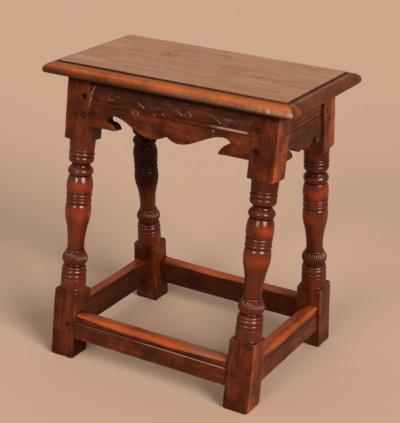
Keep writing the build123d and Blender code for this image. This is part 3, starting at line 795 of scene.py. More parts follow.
def half_edge(cut, half):
    """Lower edge of half an apron from the shoulder at half to the middle at 0."""
    def at(reach, rise):
        return half - reach, rise

    reach, rise = cut["notch"]
    round_off = cut["notch_radius"]
    low, high = at(reach + round_off, rise - round_off), at(reach + round_off, rise + round_off)
    plain_end = at(cut["beak"][0] * BEAK_PLAIN_SHARE, 0)
    plain = np.linspace(at(0, 0), plain_end, int(cut["beak"][0] / PLAIN_STEP))
    runs = [plain,
            eased(plain_end, at(*cut["beak"]), (-1, 0), (-1, 0.6)),
            arc(at(*cut["beak"]), at(*cut["back"]), low),
            arc(low, at(reach, rise), high),
            eased(high, at(*cut["crown"]), (-0.7, 0.7), (-1, 0)),
            eased(at(*cut["crown"]), cut["lobe"], (-1, 0), (-1, 0)),
            eased(cut["lobe"], (0, cut["cusp_rise"]), (-1, 0), (-0.7, 0.7))]
    return np.concatenate([run if index == 0 else run[1:] for index, run in enumerate(runs)])


def apron_edge(left, right, half):
    """Whole lower edge of an apron, from left to right."""
    left_run = half_edge(left, half) * np.array([-1, 1])
    return np.concatenate([left_run, half_edge(right, half)[::-1][1:]])


def distance_to(points, line):
    """Distance from each point to the nearest point of a finely divided line."""
    steps = [np.linspace(start, end, 4, endpoint=False) for start, end in zip(line[:-1], line[1:])]
    fine = np.concatenate([*steps, line[-1:]])
    best = np.full(len(points), 1e9)
    for piece in np.array_split(fine, max(1, len(fine) // 64)):
        gap = points[:, None, :] - piece[None, :, :]
        best = np.minimum(best, np.sqrt((gap ** 2).sum(-1)).min(1))
    return best


def inside(points, outline):
    """Which points lie inside a closed outline."""
    x, y = points[:, 0], points[:, 1]
    hit = np.zeros(len(points), bool)
    for (ax, ay), (bx, by) in zip(outline, np.roll(outline, -1, 0)):
        crosses = (ay > y) != (by > y)
        if crosses.any():
            hit ^= crosses & (x < (bx - ax) * (y - ay) / (by - ay if by != ay else 1e-9) + ax)
    return hit


def triangulated(outline, interior):
    """Triangles that fill a closed outline and use the interior points."""
    points = [Vector(p) for p in np.concatenate([outline, interior]).tolist()]
    loop = [list(range(len(outline)))]
    made = geometry.delaunay_2d_cdt(points, [], loop, 1, 1e-5)
    return np.array([(p.x, p.y) for p in made[0]]), [list(face) for face in made[2]]


def offset_rows(line, distances):
    """Points beside a line, on its left, at several distances, where it leaves room for them."""
    direction = np.gradient(line, axis=0)
    direction /= np.linalg.norm(direction, axis=1)[:, None] + 1e-9
    normal = join(-direction[:, 1], direction[:, 0])
    rows = [(line + normal * distance, distance) for distance in distances]
    return np.concatenate([row[distance_to(row, line) > distance * 0.93] for row, distance in rows])


def panel(piece, edge, half, top, split, rows, relief, place):
    """A board with a cut lower edge: a relief front, plain back and straight walls.

    relief gives (depth, wear, dirt and shade, fade and sheen) at points and their distances from the edge,
    and place puts (along, depth, rise) in the world. rows are the heights of the grid above the split.
    """
    columns = np.linspace(-half, half, int(2 * half / 0.9))
    heights = np.array([split, *rows, top])
    outline = np.concatenate([edge, join(columns[::-1], split)])
    spread = lattice(np.arange(-half + 1, half - 1, 1.7), np.arange(1.2, split - 1, 1.7))
    spread = spread[inside(spread, outline)]
    spread = spread[distance_to(spread, edge) > 2.6]
    near = offset_rows(edge, (0.25, 0.6, 1.1, 1.8))
    near = near[inside(near, outline) & (near[:, 1] < split - 0.8) & (np.abs(near[:, 0]) < half - 0.5)]
    upper = lattice(columns, heights), grid_faces(len(heights), len(columns), False)
    for points, polygons in (triangulated(outline, np.concatenate([spread, near])), upper):
        depth, wear, dirt_and_shade, fade_and_sheen = relief(points, distance_to(points, edge))
        piece.add(place(points[:, 0], depth, points[:, 1]), polygons, wear, dirt_and_shade, fade_and_sheen)

    sides = [edge, join(half, heights), join(columns[::-1], top), join(-half, heights[::-1])]
    loop = np.concatenate([run[1:] for run in sides])
    depth, wear, dirt_and_shade, _ = relief(loop, distance_to(loop, edge))
    walls = [place(loop[:, 0], depth + (APRON_THICKNESS - depth) * share, loop[:, 1])
             for share in np.linspace(0, 1, WALL_ROWS)]
    shown = (np.arange(len(loop)) < len(edge) - 1) & (np.gradient(loop[:, 0]) >= 0.02)
    # the cut walls are darker: dirt and painted shade
    piece.add(np.concatenate(walls), grid_faces(WALL_ROWS, len(loop), True),
              np.tile(wear * 0.4, WALL_ROWS), np.tile(np.where(shown, 0.42, 0.9), WALL_ROWS))
    coarse = lattice(np.arange(-half + 5, half - 4, 9.0), np.arange(8, top - 4, 9.0))
    coarse = coarse[inside(coarse, loop)]
    flat, faces = triangulated(loop, coarse[distance_to(coarse, loop) > 4])
    piece.add(place(flat[:, 0], APRON_THICKNESS, flat[:, 1]), faces, 0.0, 0.25)


def bead_depth(rise, bead_top):
    """Depth of the scratched bead and of the quirks beside it."""
    off = np.abs(rise - bead_top + BEAD_HEIGHT / 2) - BEAD_HEIGHT / 2
    round_part = 0.3 + (BEAD_SINK - 0.3) * np.clip((off + BEAD_HEIGHT / 2) / (BEAD_HEIGHT / 2), 0, 1) ** 2
    quirk = BEAD_SINK * np.clip(1 - off / BEAD_QUIRK, 0, 1)
    return np.where(off < 0, round_part, quirk), off


def eased_arris(edge_distance, radius):
    """How far a rounded arris falls away near the edge."""
    corner = np.clip(radius - edge_distance, 0, radius)
    return radius - np.sqrt(np.maximum(radius ** 2 - corner ** 2, 0))


def plane_waves(points, seed):
    """Uneven marks that a hand plane leaves along a rail, from 0 to 2."""
    return 1 + ripple(points * np.array([0.25, 1]), 9, seed)


# middle of each ring, strength of the cut, and the painted highlight on its lead-in, slash and upper arc
SCROLLS = ((-120.5, 0.5, 0.1, 0.2, 0.3), (-38.0, 1.0, 0.3, 1.0, 0.5), (37.5, 0.9, 0.0, 0.5, 0.9),
           (109.5, 1.0, 0.4, 0.7, 0.8))
SCROLL_RISE = 54.0                      # middle of the rings above the apron's plain edge
RING_RADIUS = 5.6
STROKE_WIDTH = 1.15
STROKE_DEPTH = 1.0
PUNCHES = ((-67.0, 39.5), (-57.5, 39.0), (-25.0, 42.5), (-9.0, 46.0), (88.0, 36.0))


def scroll_strokes():
    """The running scroll of the frieze as (line, depth, painted highlight): a lazy S into each ring."""
    def ring(centre, radius, low, high, count):
        angles = np.radians(np.linspace(low, high, count))
        return join(centre + radius * np.cos(angles), SCROLL_RISE + radius * 0.92 * np.sin(angles))

    strokes = []
    for centre, strength, lead_highlight, slash_highlight, arc_highlight in SCROLLS:
        def stroke(x0, y0, x1, y1, leave, arrive):
            return eased((centre + x0, SCROLL_RISE + y0), (centre + x1, SCROLL_RISE + y1), leave, arrive)

        strokes += [(stroke(-36, 7, -20, 3, (1, 0.3), (1, -0.5)), 0.5 * strength, lead_highlight),
                    (stroke(-20, 3, -9, -3.5, (1, -0.5), (1, -0.6)), strength, slash_highlight),
                    (stroke(-24, -1, -13, 5.5, (0.8, 0.9), (1, -0.2)), 0.6 * strength, 0.0),
                    (ring(centre, RING_RADIUS, -15, 80, 10), 0.9 * strength, arc_highlight),
                    (ring(centre, RING_RADIUS, 80, 345, 20), 0.9 * strength, 0.15 * arc_highlight),
                    (ring(centre, 1.9, 20, 300, 12), 0.8 * strength, 0.0)]
    # long scratches at the left end, the brightest of them a painted highlight along the joint with the leg
    return strokes + [(eased((-156.0, 28), (-148.0, 70.0), (0, 1), (0.5, 0.8)), 1.3, 0.85),
                      (eased((-153.0, 44), (-148.5, 66.0), (0.1, 1), (0.5, 0.8)), 0.7, 0.75),
                      (eased((-156.5, 4), (-156.0, 28.0), (0, 1), (0, 1)), 0.8, 0.25)]


def fine_scratches(seed):
    """Light scratches of handling along the frieze, as (line, depth, brightness)."""
    rng = np.random.default_rng(seed)
    found = []
    for _ in range(26):
        start = np.array([rng.uniform(-150, 135), rng.uniform(50, 72)])
        along = np.linspace(0, rng.uniform(4, 12), 8)
        rise = rng.uniform(-0.16, 0.16) * along + 0.5 * np.sin(along / 4 + rng.uniform(0, 6))
        found.append((start + join(along, rise), 0.12, rng.uniform(0.15, 0.42)))
    return found


def front_relief(points, edge_distance, seed, carved):
    """Depth, wear, dirt and painted shade, and fade and painted highlight of the front or back apron's face.
    """
    along, rise = points.T
    bead_top = FRONT_APRON_DEPTH - BEAD_DROP
    bead, off = bead_depth(rise, bead_top)
    rub = rubbing(points, 46, seed)
    crisp = 0.35 + 0.65 * smooth(-60, 110, along)
    depth = bead * crisp * (0.7 + 0.3 * rub) + 0.22 * plane_waves(points, seed + 1)
    depth = depth + eased_arris(edge_distance, 1.25)
    wear = 0.40 * bell(off + BEAD_HEIGHT / 2, 2.6) * smooth(-0.2, 0.9, rub)
    wear = np.maximum(wear, 0.30 * smooth(bead_top - 5, bead_top - 22, rise) * rub)
    wear = np.maximum(wear, 0.45 * bell(edge_distance, 1.7) * (0.2 + 0.8 * rub))
    # painted highlight along the bead's crown, towards the right
    fade_and_sheen = bell(rise - bead_top + 2.9, 2.0) * smooth(70, 105, along) * carved
    fade_and_sheen = fade_and_sheen * (1 - smooth(HALF_SPAN - 9, HALF_SPAN - 5, along))
    fade_and_sheen = np.maximum(fade_and_sheen, 0.05 * smooth(46, 62, rise))
    # old wax in the quirks by the bead; the frieze darker, most to the left, with a painted shadow just under
    # the seat
    quirks = 0.85 * bell(off - 0.1, 0.8)
    seat_shadow = 0.22 * smooth(FRONT_APRON_DEPTH - 26, FRONT_APRON_DEPTH - 14, rise)
    seat_shadow = seat_shadow + 0.42 * smooth(FRONT_APRON_DEPTH - 17, FRONT_APRON_DEPTH - 12, rise)
    dirt_and_shade = np.maximum(quirks * crisp, 0.34 + seat_shadow + 0.13 * smooth(40, -60, along))
    dirt_and_shade = np.where(rise < bead_top - BEAD_HEIGHT, np.minimum(dirt_and_shade, quirks), dirt_and_shade)
    dirt_and_shade = np.maximum(dirt_and_shade, 0.36 * smooth(-95, -125, along))
    # painted shadow by the left slot
    dirt_and_shade = np.maximum(dirt_and_shade, 0.6 * bell(along + 129, 9) * bell(rise - 18, 7))
    if carved:
        broken = smooth(-0.5, 0.4, ripple(points, 6, seed + 7))
        # how bright a stroke is: the pale colour of handling scratches, and on the scroll a painted highlight
        # where its cuts catch the light
        for line, strength, bright in scroll_strokes() + fine_scratches(seed + 9):
            far = distance_to(points, line)
            groove = bell(far, STROKE_WIDTH)
            depth = depth + STROKE_DEPTH * strength * groove
            dirt_and_shade = np.maximum(dirt_and_shade, 0.75 * strength * bell(far - 1.6, 0.9) * (1 - bright * 0.4))
            dirt_and_shade = dirt_and_shade * (1 - bright * groove)
            fade_and_sheen = np.maximum(fade_and_sheen, bright * groove * (0.12 + 0.88 * broken))
        for x, y in PUNCHES:
            far = np.hypot(along - x, rise - y)
            depth = depth + 0.8 * bell(far, 1.4)
            fade_and_sheen = np.maximum(fade_and_sheen, 0.7 * bell(far, 1.6))
    return depth, wear, dirt_and_shade, fade_and_sheen


def side_relief(points, edge_distance, seed):
    """Depth, wear, dirt and painted shade, and fade of a side apron's face."""
    along, rise = points.T
    height = side_apron_high[2] - side_apron_low[2]
    bead, off = bead_depth(rise, height - BEAD_DROP)
    rub = rubbing(points, 40, seed)
    depth = bead * (0.7 + 0.3 * rub) + 0.2 * plane_waves(points, seed + 1) + eased_arris(edge_distance, 1.2)
    wear = np.maximum(0.5 * bell(off + BEAD_HEIGHT / 2, 2.6) * rub, 0.45 * bell(edge_distance, 1.6) * rub)
    # old wax in the quirks, and painted shade under the seat
    dirt_and_shade = np.maximum(0.85 * bell(off - 0.1, 0.8), 0.08 + 0.7 * smooth(height - 22, height - 12, rise))
    dirt_and_shade = np.maximum(dirt_and_shade, 0.9 * smooth(4.5, 1.5, along.max() - np.abs(along)))
    return depth, wear, dirt_and_shade, 0.0


def bead_rows(bead_top, low, high, pitch):
    """Grid heights from low to high: even, and close together over the bead."""
    fine = np.arange(bead_top - BEAD_HEIGHT - 2.2, bead_top + 2.2, 0.5)
    even = np.arange(low + pitch, high - pitch / 2, pitch)
    even = even[(even < fine[0] - pitch / 3) | (even > fine[-1] + pitch / 3)]
    return sorted([*even, *fine])


def build_front_apron(name, back, material, seed):
    """The front or back apron, which leans with the legs."""
    piece = Piece(name + "_wood", "frame_oak", material)
    half = HALF_SPAN + RAIL_LAP
    low = LEG_TOP - FRONT_APRON_DEPTH

    def place(along, depth, rise):
        return leaning(along, FRONT_SETBACK + depth, low + rise) * np.array([1, -1 if back else 1, 1])

    rows = bead_rows(FRONT_APRON_DEPTH - BEAD_DROP, FRONT_SPLIT, FRONT_APRON_DEPTH, 0.95)
    edge = apron_edge(FRONT_LEFT_CUT, FRONT_RIGHT_CUT, half)
    panel(piece, edge, half, FRONT_APRON_DEPTH, FRONT_SPLIT, rows,
          lambda points, far: front_relief(points, far, seed, not back), place)
    return piece.build(name)


def build_side_apron(name, side, material, seed):
    """The left or right apron, upright and narrower towards the seat."""
    piece = Piece(name + "_wood", "frame_oak", material)
    low, high = side_apron_low[2], side_apron_high[2]
    wide, narrow = leg_inner_y(low) + RAIL_LAP, leg_inner_y(high) + RAIL_LAP

    def place(along, depth, rise):
        lean_in = 1 - (1 - narrow / wide) * rise / (high - low)
        return join(side * (OUTER_X - SIDE_SETBACK - depth), along * lean_in, low + rise)

    rows = bead_rows(high - low - BEAD_DROP, SIDE_SPLIT, high - low, 1.3)
    edge = apron_edge(SIDE_FRONT_CUT, SIDE_BACK_CUT, wide)
    panel(piece, edge, wide, high - low, SIDE_SPLIT, rows,
          lambda points, far: side_relief(points, far, seed), place)
    return piece.build(name)


# ---------------------------------------------------------------- stretchers
BAR_POLISH = 0.42


def bar_section(depth, height, wear_in, wear_down, rubbed_back):
    """Outline of a stretcher from the outer lower arris round, as (depth, height, wear, dirt, fade); the fade
    below the scratched line is a painted highlight.
    """
    line = height - BAR_LINE_DROP
    rows = [(1.2, 0.0, 0.3, 0.3, 0), (0.35, 0.3, 0.5, 0.2, 0), (0.0, 1.3, 0.35, 0.2, 0)]
    rows += [(0.0, h, 0.12, 0.15, 0) for h in np.linspace(4, line - 3.0, 8)]
    # painted highlight on the lower lip of the scratched line
    rows += [(0.0, line - 2.2, 0.15, 0.1, 0.3), (0.35, line - 1.4, 0.1, 0.0, 1),
             (0.9, line - 0.7, 0, 0.4, 0.6), (1.5, line, 0.0, 0.95, 0),
             (1.1, line + 0.8, 0.0, 0.9, 0), (0.1, line + 1.8, 0.1, 0.5, 0)]
    top = height - wear_down
    rows += [(0.0, h, 0.15, 0.25, 0) for h in np.linspace(line + 2.8, top - 0.8, 4)]
    for angle in np.radians(np.linspace(0, 90, 12)):
        rows.append((wear_in * (1 - math.cos(angle)), top + wear_down * math.sin(angle),
                     0.60 + 0.40 * math.sin(2 * angle), 0.0, 0.0))
    rows += [(d, height, 0.86, 0.0, 0.0) for d in np.linspace(wear_in + 1.5, depth - 3.0, 5)]
    rows += [(depth - 0.9, height - 0.15, 0.3 + rubbed_back, 0.1 * (1 - rubbed_back), 0.1),
             (depth - 0.2, height - 1.0, 0.2 + rubbed_back, 0.3 * (1 - rubbed_back), 0.1)]
    rows += [(depth, h, 0.0, 0.58, 0) for h in np.linspace(height - 3, 2.0, 7)]
    rows += [(depth - 0.4, 0.4, 0.1, 0.5, 0), (depth - 1.4, 0.0, 0.0, 0.5, 0)]
    rows += [(d, 0.0, 0.0, 0.5, 0) for d in np.linspace(depth - 6, 5, 4)]
    return np.array(rows)


def add_stretcher(piece, half, height, wear, place, seed, rubbed_back=0.0, lip_highlight=0.0, side_light=0.0):
    """Sweep the worn section from end to end; place puts (share along, depth, rise) in the world.

    rubbed_back is how worn the inner top arris is, lip_highlight how bright the painted highlight on the
    scratched line's lip is and how pale the top grows towards the right, and side_light how much painted
    light makes the outer face lighter.
    """
    rings, marks = [], []
    for t in (-1, -0.996, *np.linspace(-0.985, 0.985, int(half / 1.6)), 0.996, 1):
        middle = max(0.0, 1 - t * t) ** 0.6
        rub = float(ripple(np.array([[t * half, 0.0]]), 120, seed)[0])
        wear_down = 1.6 + wear * middle * (1 + 0.12 * rub)
        wear_in = 2.4 + wear * 1.35 * middle * (1 + 0.10 * rub)
        section = bar_section(BAR_THICKNESS, height, wear_in, wear_down, rubbed_back * (0.6 + 0.4 * rub))
        depth, rise, rubbed, waxed, faded_and_sheen = section.T
        inward = 0.22 * (1 + ripple(join(t * half * 0.35, depth, rise), 14, seed + 1))
        ray = np.array([BAR_THICKNESS / 2, height / 2]) - section[:, :2]
        ray /= np.linalg.norm(ray, axis=1)[:, None]
        moved = section[:, :2] + ray * inward[:, None]
        rings.append(place(t, moved[:, 0], moved[:, 1]))

        end = smooth(0.95, 1.0, abs(t))
        far_in = smooth(wear_in, BAR_THICKNESS, depth) * smooth(0.55, 0.9, abs(t))
        tread = 0.60 * (rubbed > 0.5) * smooth(0.15, 0.75, t)
        worn = rubbed * (1 - 0.6 * end) * (0.80 + 0.20 * rub) * (1 - 0.8 * far_in)
        # painted light: the outer face made lighter
        worn = np.maximum(worn, side_light * (depth < 0.1) * (0.7 + 0.3 * rub)) * (1 - 0.4 * lip_highlight * tread)
        dirt_and_shade = np.maximum(waxed * (1 - side_light * (waxed < 0.5)), 0.75 * end)
        lip = faded_and_sheen * (0.25 + 0.75 * smooth(-0.5, 0.1, t))
        marks.append((worn, dirt_and_shade, (1 - end) * lip_highlight * np.maximum(lip, tread)))
    piece.add_tube(np.array(rings), *np.array(marks).transpose(1, 0, 2), BAR_POLISH)


def build_front_stretcher(name, back, material, wear, seed):
    """The front or back stretcher, which leans with the legs."""
    piece = Piece(name + "_wood", "frame_oak", material)
    half = HALF_SPAN + RAIL_LAP

    def place(t, depth, rise):
        world = leaning(t * half, FRONT_SETBACK + depth, FRONT_BAR_UNDER + rise)
        return world * np.array([1, -1 if back else 1, 1])

    add_stretcher(piece, half, FRONT_BAR_DEPTH, wear, place, seed,
                  rubbed_back=0.6 if back else 0.0, lip_highlight=0.0 if back else 0.8)
    return piece.build(name)


def build_side_stretcher(name, side, material, wear, seed):
    """The left or right stretcher, upright and cut to the slope of the legs."""
    piece = Piece(name + "_wood", "frame_oak", material)
    low, high = side_bar_low[2], side_bar_high[2]

    def place(t, depth, rise):
        reach = leg_inner_y(low + rise) + RAIL_LAP
        return join(side * (OUTER_X - SIDE_SETBACK - depth), t * reach, low + rise)

    # painted light: only the right stretcher's outer face is made lighter
    add_stretcher(piece, leg_inner_y(low), high - low, wear, place, seed, side_light=0.38 if side > 0 else 0.0)
    return piece.build(name)


# ---------------------------------------------------------------- seat board
SEAT_GRID = (260, 142)                  # points along the field and across it
SEAT_POLISH = 0.12
FRONT_SIDE, BACK_SIDE = 0, 2            # order round the moulding: front, right, back, left
# chips along the field's front edge: place and size
CHIPS = ((136, -117, 2.4), (150, -118, 3.4), (163, -117, 2.0), (182, -118, 2.8), (199, -119, 2.2),
         (-205, -117, 2.2), (60, -117.5, 1.8))
KNOT = (-84.0, 33.0)
KNOT_DENT = (-97.0, 31.0)
# cracks of the field: start, end and strength
CRACKS = (((-222, -11), (-166, -13), 0.55), ((-95, 46), (-80, 22), 0.75), ((-80, 22), (-70, 33), 0.7),
          ((-90, 50), (-80, 56), 0.6), ((-94, 17), (-66, 30), 0.5), ((25, 15), (42, 4), 0.6),
          ((31, 22), (44, 12), 0.5), ((58, -8), (67, -1), 0.6), ((113, -13), (121, -7), 0.6),
          ((-20, 103), (-8, 108), 0.5), ((-8, 83), (17, 75), 0.45), ((-2, 74), (14, 82), 0.35),
          ((38, 65), (60, 56), 0.4), ((162, 92), (179, 84), 0.5), ((161, -71), (178, -74), 0.5),
          ((-80, 108), (-68, 111), 0.6))


def moulding_profile():
    """Seat edge from the field outwards and under.

    Rows hold the inset from the edge, the drop, wear, dirt and fade, the share of a painted reflection on
    the lower nose, and polish.
    """
    rows = [(SEAT_MOULDING + out, *rest) for out, *rest in (
        (4.5, 0.0, 0.0, 0.0, BLEACHED, 0, 0.3), (2.8, 0.0, 0.30, 0.0, BLEACHED, 0, 0.3),
        (1.6, 0.05, 0.45, 0.15, 0.6, 0, 0.3), (0.7, 0.25, 0.45, 0.6, 0.3, 0, 0.3),
        (0.0, 0.8, 0.2, 0.9, 0.0, 0, 0.2), (-0.1, SEAT_QUIRK - 0.3, 0.0, 0.9, 0.0, 0, 0.1),
        (-0.7, SEAT_QUIRK + 0.05, 0.0, 0.9, 0.0, 0, 0.1))]
    for angle in np.radians(np.linspace(4, 90, 19)):
        band = bell(angle - 0.85, 0.42)
        rows.append(((SEAT_MOULDING - 0.4) * (1 - math.sin(angle)),
                     SEAT_NOSE + (SEAT_QUIRK - SEAT_NOSE) * math.cos(angle), 0.10 + 0.64 * band,
                     max(0.85 * max(0.0, 1 - angle * 2.6), 0.55 * (angle - 1.15)),
                     0.30 * bell(angle - 0.34, 0.15), smooth(0.75, 1.30, angle), 0.3 + 0.15 * band))
    thickness = seat_high[2] - seat_low[2]
    for angle in np.radians(np.linspace(12, 90, 8)):
        rows.append((SEAT_TUCK * (1 - math.cos(angle)), SEAT_NOSE + (thickness - SEAT_NOSE) * math.sin(angle),
                     0.10, 0.35 + 0.3 * angle, 0.0, max(0.0, 1 - angle / 0.8), 0.5))
    return np.array([*rows, *((SEAT_TUCK + step, thickness, 0.0, 0.8, 0.0, 0, 0.1) for step in (1.5, 12))])


def seat_marks(points):
    """Shallow damage of the field: depth, wear and dirt."""
    across, along = points.T
    depth, wear, dirt_and_shade = (np.zeros(len(points)) for _ in range(3))
    for start, end, strength in CRACKS:
        line = np.linspace(start, end, 40)
        line[:, 1] += 0.9 * np.sin(np.linspace(0, 7, 40) + start[0])
        far = distance_to(points, line)
        depth += 0.7 * strength * bell(far, 1.1)
        dirt_and_shade = np.maximum(dirt_and_shade, strength * np.maximum(0.8 * bell(far, 1.6), 0.26 * bell(far, 4.5)))
    knot = np.hypot(across - KNOT[0], (along - KNOT[1]) * 1.1)
    dirt_and_shade = np.maximum(dirt_and_shade, 0.22 * bell(knot, 11))
    depth += 0.9 * bell(np.hypot((across - KNOT_DENT[0]) / 8, (along - KNOT_DENT[1]) / 5), 1)
    for x, y, size in CHIPS:
        far = np.hypot((across - x) / 1.6, along - y)
        depth += 0.9 * bell(far, size)
        wear = np.maximum(wear, 0.5 * bell(far - size, 1.2))
        dirt_and_shade = np.maximum(dirt_and_shade, 0.6 * bell(far, size * 0.8))
    rubbed = smooth(145, 215, across) * bell(along - seat_low[1] - SEAT_MOULDING, 9)
    return depth, np.maximum(wear, 0.42 * rubbed), dirt_and_shade


def seat_surface(x, y, drop, wear, dirt_and_shade, nose):
    """Height, wear and dirt of the board at points; nose is 1 where the nose has no plane marks."""
    flat = join(x, y)
    depth, more_wear, more_dirt = seat_marks(flat)
    depth = depth + 0.16 * (1 + ripple(flat * np.array([0.3, 1]), 17, 13)) * (1 - nose)
    wear = np.clip(wear * (0.92 + 0.10 * ripple(flat, 70, 11) + 0.10 * ripple(flat, 23, 12)), 0, 1)
    return seat_high[2] - drop - depth, np.maximum(wear, more_wear), np.maximum(dirt_and_shade, more_dirt)


def build_seat(material):
    """The seat board: a field of small squares inside mitred rings of the moulding."""
    half_x, half_y, top = seat_high
    profile = moulding_profile()
    sx, sy = (np.linspace(-1, 1, count) for count in SEAT_GRID)
    around = np.concatenate([join(sx[:-1], -1), join(1, sy[:-1]), join(sx[:0:-1], 1), join(-1, sy[:0:-1])])
    side = np.repeat(np.arange(4), [len(run) - 1 for run in (sx, sy, sx, sy)])
    front = side == FRONT_SIDE
    piece = Piece("seat_board_wood", "seat_oak", material)

    inner = profile[0, 0]
    x, y = lattice(sx * (half_x - inner), sy * (half_y - inner)).T
    z, wear, dirt_and_shade = seat_surface(x, y, 0.0, 0.0, 0.0, 0.0)
    # the field takes the bleached colours: faded wood, with a painted sheen of reflected light
    piece.add(join(x, y, z), grid_faces(len(sy), len(sx), False), wear, dirt_and_shade, BLEACHED, SEAT_POLISH)

    rings, marks = [], []
    for inset, drop, wear, dirt_and_shade, fade_and_sheen, reflection_share, polish in profile:
        x, y = around[:, 0] * (half_x - inset), around[:, 1] * (half_y - inset)
        # on the front, the rubbed colour grows brighter towards the right as a painted glow; the ends and
        # back are rubbed less
        if inset > SEAT_MOULDING:
            wear_and_glow = np.where(front, 0.25 + 0.75 * smooth(60, 150, x), 0.1)
        else:
            wear_and_glow = np.where(front, 0.74 + 0.40 * smooth(-220, 215, x), np.where(side == BACK_SIDE, 0.7, 0.25))
        shade = 0.36 * ~front * (inset < SEAT_MOULDING)
        # painted reflection and highlight on the lower front nose, brightest towards the right end
        painted_reflection = reflection_share * front * (0.30 * smooth(-60, 60, x) + 0.50 * smooth(130, 215, x))
        painted_reflection = painted_reflection * (0.85 + 0.30 * ripple(join(x, y), 11, 15))
        open_quirk = 0.30 * smooth(-40, 60, x) * (front & (dirt_and_shade > 0.5))
        outer = smooth(12, 2, inset)
        low = smooth(SEAT_NOSE - 4, SEAT_NOSE, drop)
        rub = rubbing(join(x, y), 60, 14)
        corner = np.exp(-((half_x - np.abs(x)) ** 2 + (half_y - np.abs(y)) ** 2) / 26.0)
        pull = 1 - (0.35 * rub * outer + 0.5 * corner * outer) / np.hypot(half_x, half_y)
        x, y = x * pull, y * pull
        dirt_and_shade = np.maximum(dirt_and_shade * (1 - painted_reflection) * (1 - open_quirk), shade)
        z, wear, dirt_and_shade = seat_surface(x, y, drop, wear * wear_and_glow, dirt_and_shade, low)
        z = np.maximum(top - drop if low > 0.99 else z, seat_low[2])
        rings.append(join(x, y, z))
        marks.append(join(wear * (1 - 0.75 * painted_reflection), dirt_and_shade, np.maximum(fade_and_sheen, painted_reflection), polish))
    points = np.concatenate([*rings, [[0, 0, seat_low[2]]]])
    faces = grid_faces(len(rings), len(around), True)
    faces += fan((len(rings) - 1) * len(around), len(around), len(points) - 1)
    piece.add(points, faces, *np.concatenate([*marks, [[0, 0, 0, 0]]]).T)
    return piece.build("seat_board")


# ---------------------------------------------------------------- stage, light and camera


FLOOR_REACH = 200.0
FLOOR_COLOUR = (0.78, 0.54, 0.40)
WALLS = (0.60, 0.45, 0.35)              # the room that the camera and reflections see
CEILING = (1.3, 1.02, 0.86)
SKY_LIGHT = (1.0, 0.94, 0.87)           # what lights the stool from all round
SKY_STRENGTH = 0.25
SUN_COLOUR = (1.0, 0.93, 0.85)
CAMERA_AZIMUTH = 29.07                  # the camera that was fitted to the photograph
CAMERA_ELEVATION = 21.597
CAMERA_ROLL = 2.071
CAMERA_DISTANCE = 2.1627
CAMERA_TARGET = (0.00549, 0.0, 0.2715)
CAMERA_LENS = 102.6


def build_floor():
    """A plain pale floor that keeps the stool's shadow."""
    mesh = bpy.data.meshes.new("floor")
    corners = [(x * FLOOR_REACH, y * FLOOR_REACH, 0) for x, y in ((-1, -1), (1, -1), (1, 1), (-1, 1))]
    mesh.from_pydata(corners, [], [(0, 1, 2, 3)])
    floor = placed("floor", mesh)
    material = bpy.data.materials.new("floor")
    material.use_nodes = True
    shader = material.node_tree.nodes["Principled BSDF"]
    shader.inputs["Base Color"].default_value = (*FLOOR_COLOUR, 1)
    shader.inputs["Roughness"].default_value = 0.9
    shader.inputs["Specular IOR Level"].default_value = 0.1
    mesh.materials.append(material)


def build_world():
    """Soft light from all round, seen or mirrored as a pale room with a lighter ceiling."""
    world = bpy.data.worlds.new("studio")
    bpy.context.scene.world = world
    world.use_nodes = True
    tree = world.node_tree
    tree.nodes.clear()
    path = tree.nodes.new("ShaderNodeLightPath").outputs
    camera, glossy, through = (Signal(tree, path[f"Is {ray} Ray"])
                               for ray in ("Camera", "Glossy", "Transmission"))
    light = node(tree, "ShaderNodeBackground", Color=SKY_LIGHT, Strength=SKY_STRENGTH)
    upward = node(tree, "ShaderNodeTexCoord", "Generated")
    height = node(tree, "ShaderNodeSeparateXYZ", "Z", Vector=upward)
    room = height.ramp((0.48, 0.0), (0.80, 1.0)).choose(WALLS, CEILING)
    seen = node(tree, "ShaderNodeBackground", Color=room, Strength=1.0)
    mix = node(tree, "ShaderNodeMixShader", Fac=(camera + glossy + through).clamped())
    # both shader inputs of a mix have the same name
    for socket, shader in zip(mix.socket.node.inputs[1:3], (light, seen)):
        plug(tree, socket, shader)
    node(tree, "ShaderNodeOutputWorld", Surface=mix)


def towards(azimuth, elevation):
    """Direction from the stool; azimuth 0 is the front, 90 the right side."""
    turn, rise = math.radians(azimuth), math.radians(elevation)
    return Vector((math.sin(turn) * math.cos(rise), -math.cos(turn) * math.cos(rise), math.sin(rise)))


def add_sun(name, azimuth, elevation, spread, strength):
    """A soft warm-white light; spread is its width in degrees."""
    light = bpy.data.lights.new(name, "SUN")
    light.angle, light.energy, light.color = math.radians(spread), strength, SUN_COLOUR
    lamp = placed(name, light)
    lamp.location = towards(azimuth, elevation) * 3
    lamp.rotation_euler = towards(azimuth, elevation).to_track_quat("Z", "Y").to_euler()


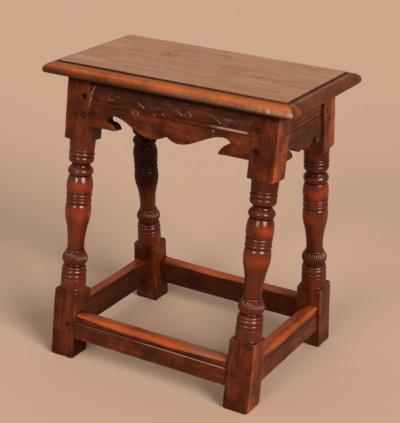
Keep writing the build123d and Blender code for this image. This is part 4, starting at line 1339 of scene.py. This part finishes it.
def build_camera():
    camera = placed("camera", bpy.data.cameras.new("camera"))
    back = towards(CAMERA_AZIMUTH, CAMERA_ELEVATION)
    right = Vector((0, 0, 1)).cross(back).normalized()
    up = back.cross(right)
    roll = math.radians(CAMERA_ROLL)
    tilted_right = right * math.cos(roll) + up * math.sin(roll)
    tilted_up = up * math.cos(roll) - right * math.sin(roll)
    axes = Matrix((tilted_right, tilted_up, back)).transposed()
    camera.matrix_world = Matrix.Translation(Vector(CAMERA_TARGET) + back * CAMERA_DISTANCE) @ axes.to_4x4()
    camera.data.lens = CAMERA_LENS
    camera.data.clip_start, camera.data.clip_end = 0.05, 60
    bpy.context.scene.camera = camera


build_camera()
build_floor()
build_world()
add_sun("key", azimuth=67, elevation=25, spread=30, strength=2.8)
add_sun("second", azimuth=-2, elevation=23, spread=21, strength=1.05)
bpy.context.scene.view_settings.view_transform = "Standard"

# ---------------------------------------------------------------- the stool
front_leg_wood = wood("leg_oak_front", Z, -LEAN, FRAME_TONES, roughness=0.20, seed=1, faded_and_sheen=FRAME_FADED_AND_SHEEN)
back_leg_wood = wood("leg_oak_back", Z, LEAN, FRAME_TONES, roughness=0.20, seed=2, faded_and_sheen=FRAME_FADED_AND_SHEEN)
front_rail_wood = wood("rail_oak_front", X, 0, FRAME_TONES, roughness=0.22, seed=3, faded_and_sheen=FRAME_FADED_AND_SHEEN)
side_rail_wood = wood("rail_oak_side", Y, 0, FRAME_TONES, roughness=0.22, seed=4, faded_and_sheen=FRAME_FADED_AND_SHEEN)
seat_wood = wood("seat_oak_board", X, 0, SEAT_TONES, roughness=0.22, seed=5, faded_and_sheen=SEAT_FADED_AND_SHEEN, patchy=0.4)
peg_wood = wood("peg_oak_heads", Z, 0, PEG_TONES, roughness=0.26, seed=6)

for corner_name, (_, front_sign) in CORNERS.items():
    build_leg(corner_name, front_leg_wood if front_sign < 0 else back_leg_wood)
    build_leg_pegs(corner_name, peg_wood)
build_seat_pegs(peg_wood)
build_seat(seat_wood)
build_front_apron("apron_front", False, front_rail_wood, seed=21)
build_front_apron("apron_back", True, front_rail_wood, seed=22)
build_side_apron("apron_left", -1, side_rail_wood, seed=23)
build_side_apron("apron_right", 1, side_rail_wood, seed=24)
build_front_stretcher("stretcher_front", False, front_rail_wood, wear=7.0, seed=31)
build_front_stretcher("stretcher_back", True, front_rail_wood, wear=4.0, seed=32)
build_side_stretcher("stretcher_left", -1, side_rail_wood, wear=5.0, seed=33)
build_side_stretcher("stretcher_right", 1, side_rail_wood, wear=7.0, seed=34)
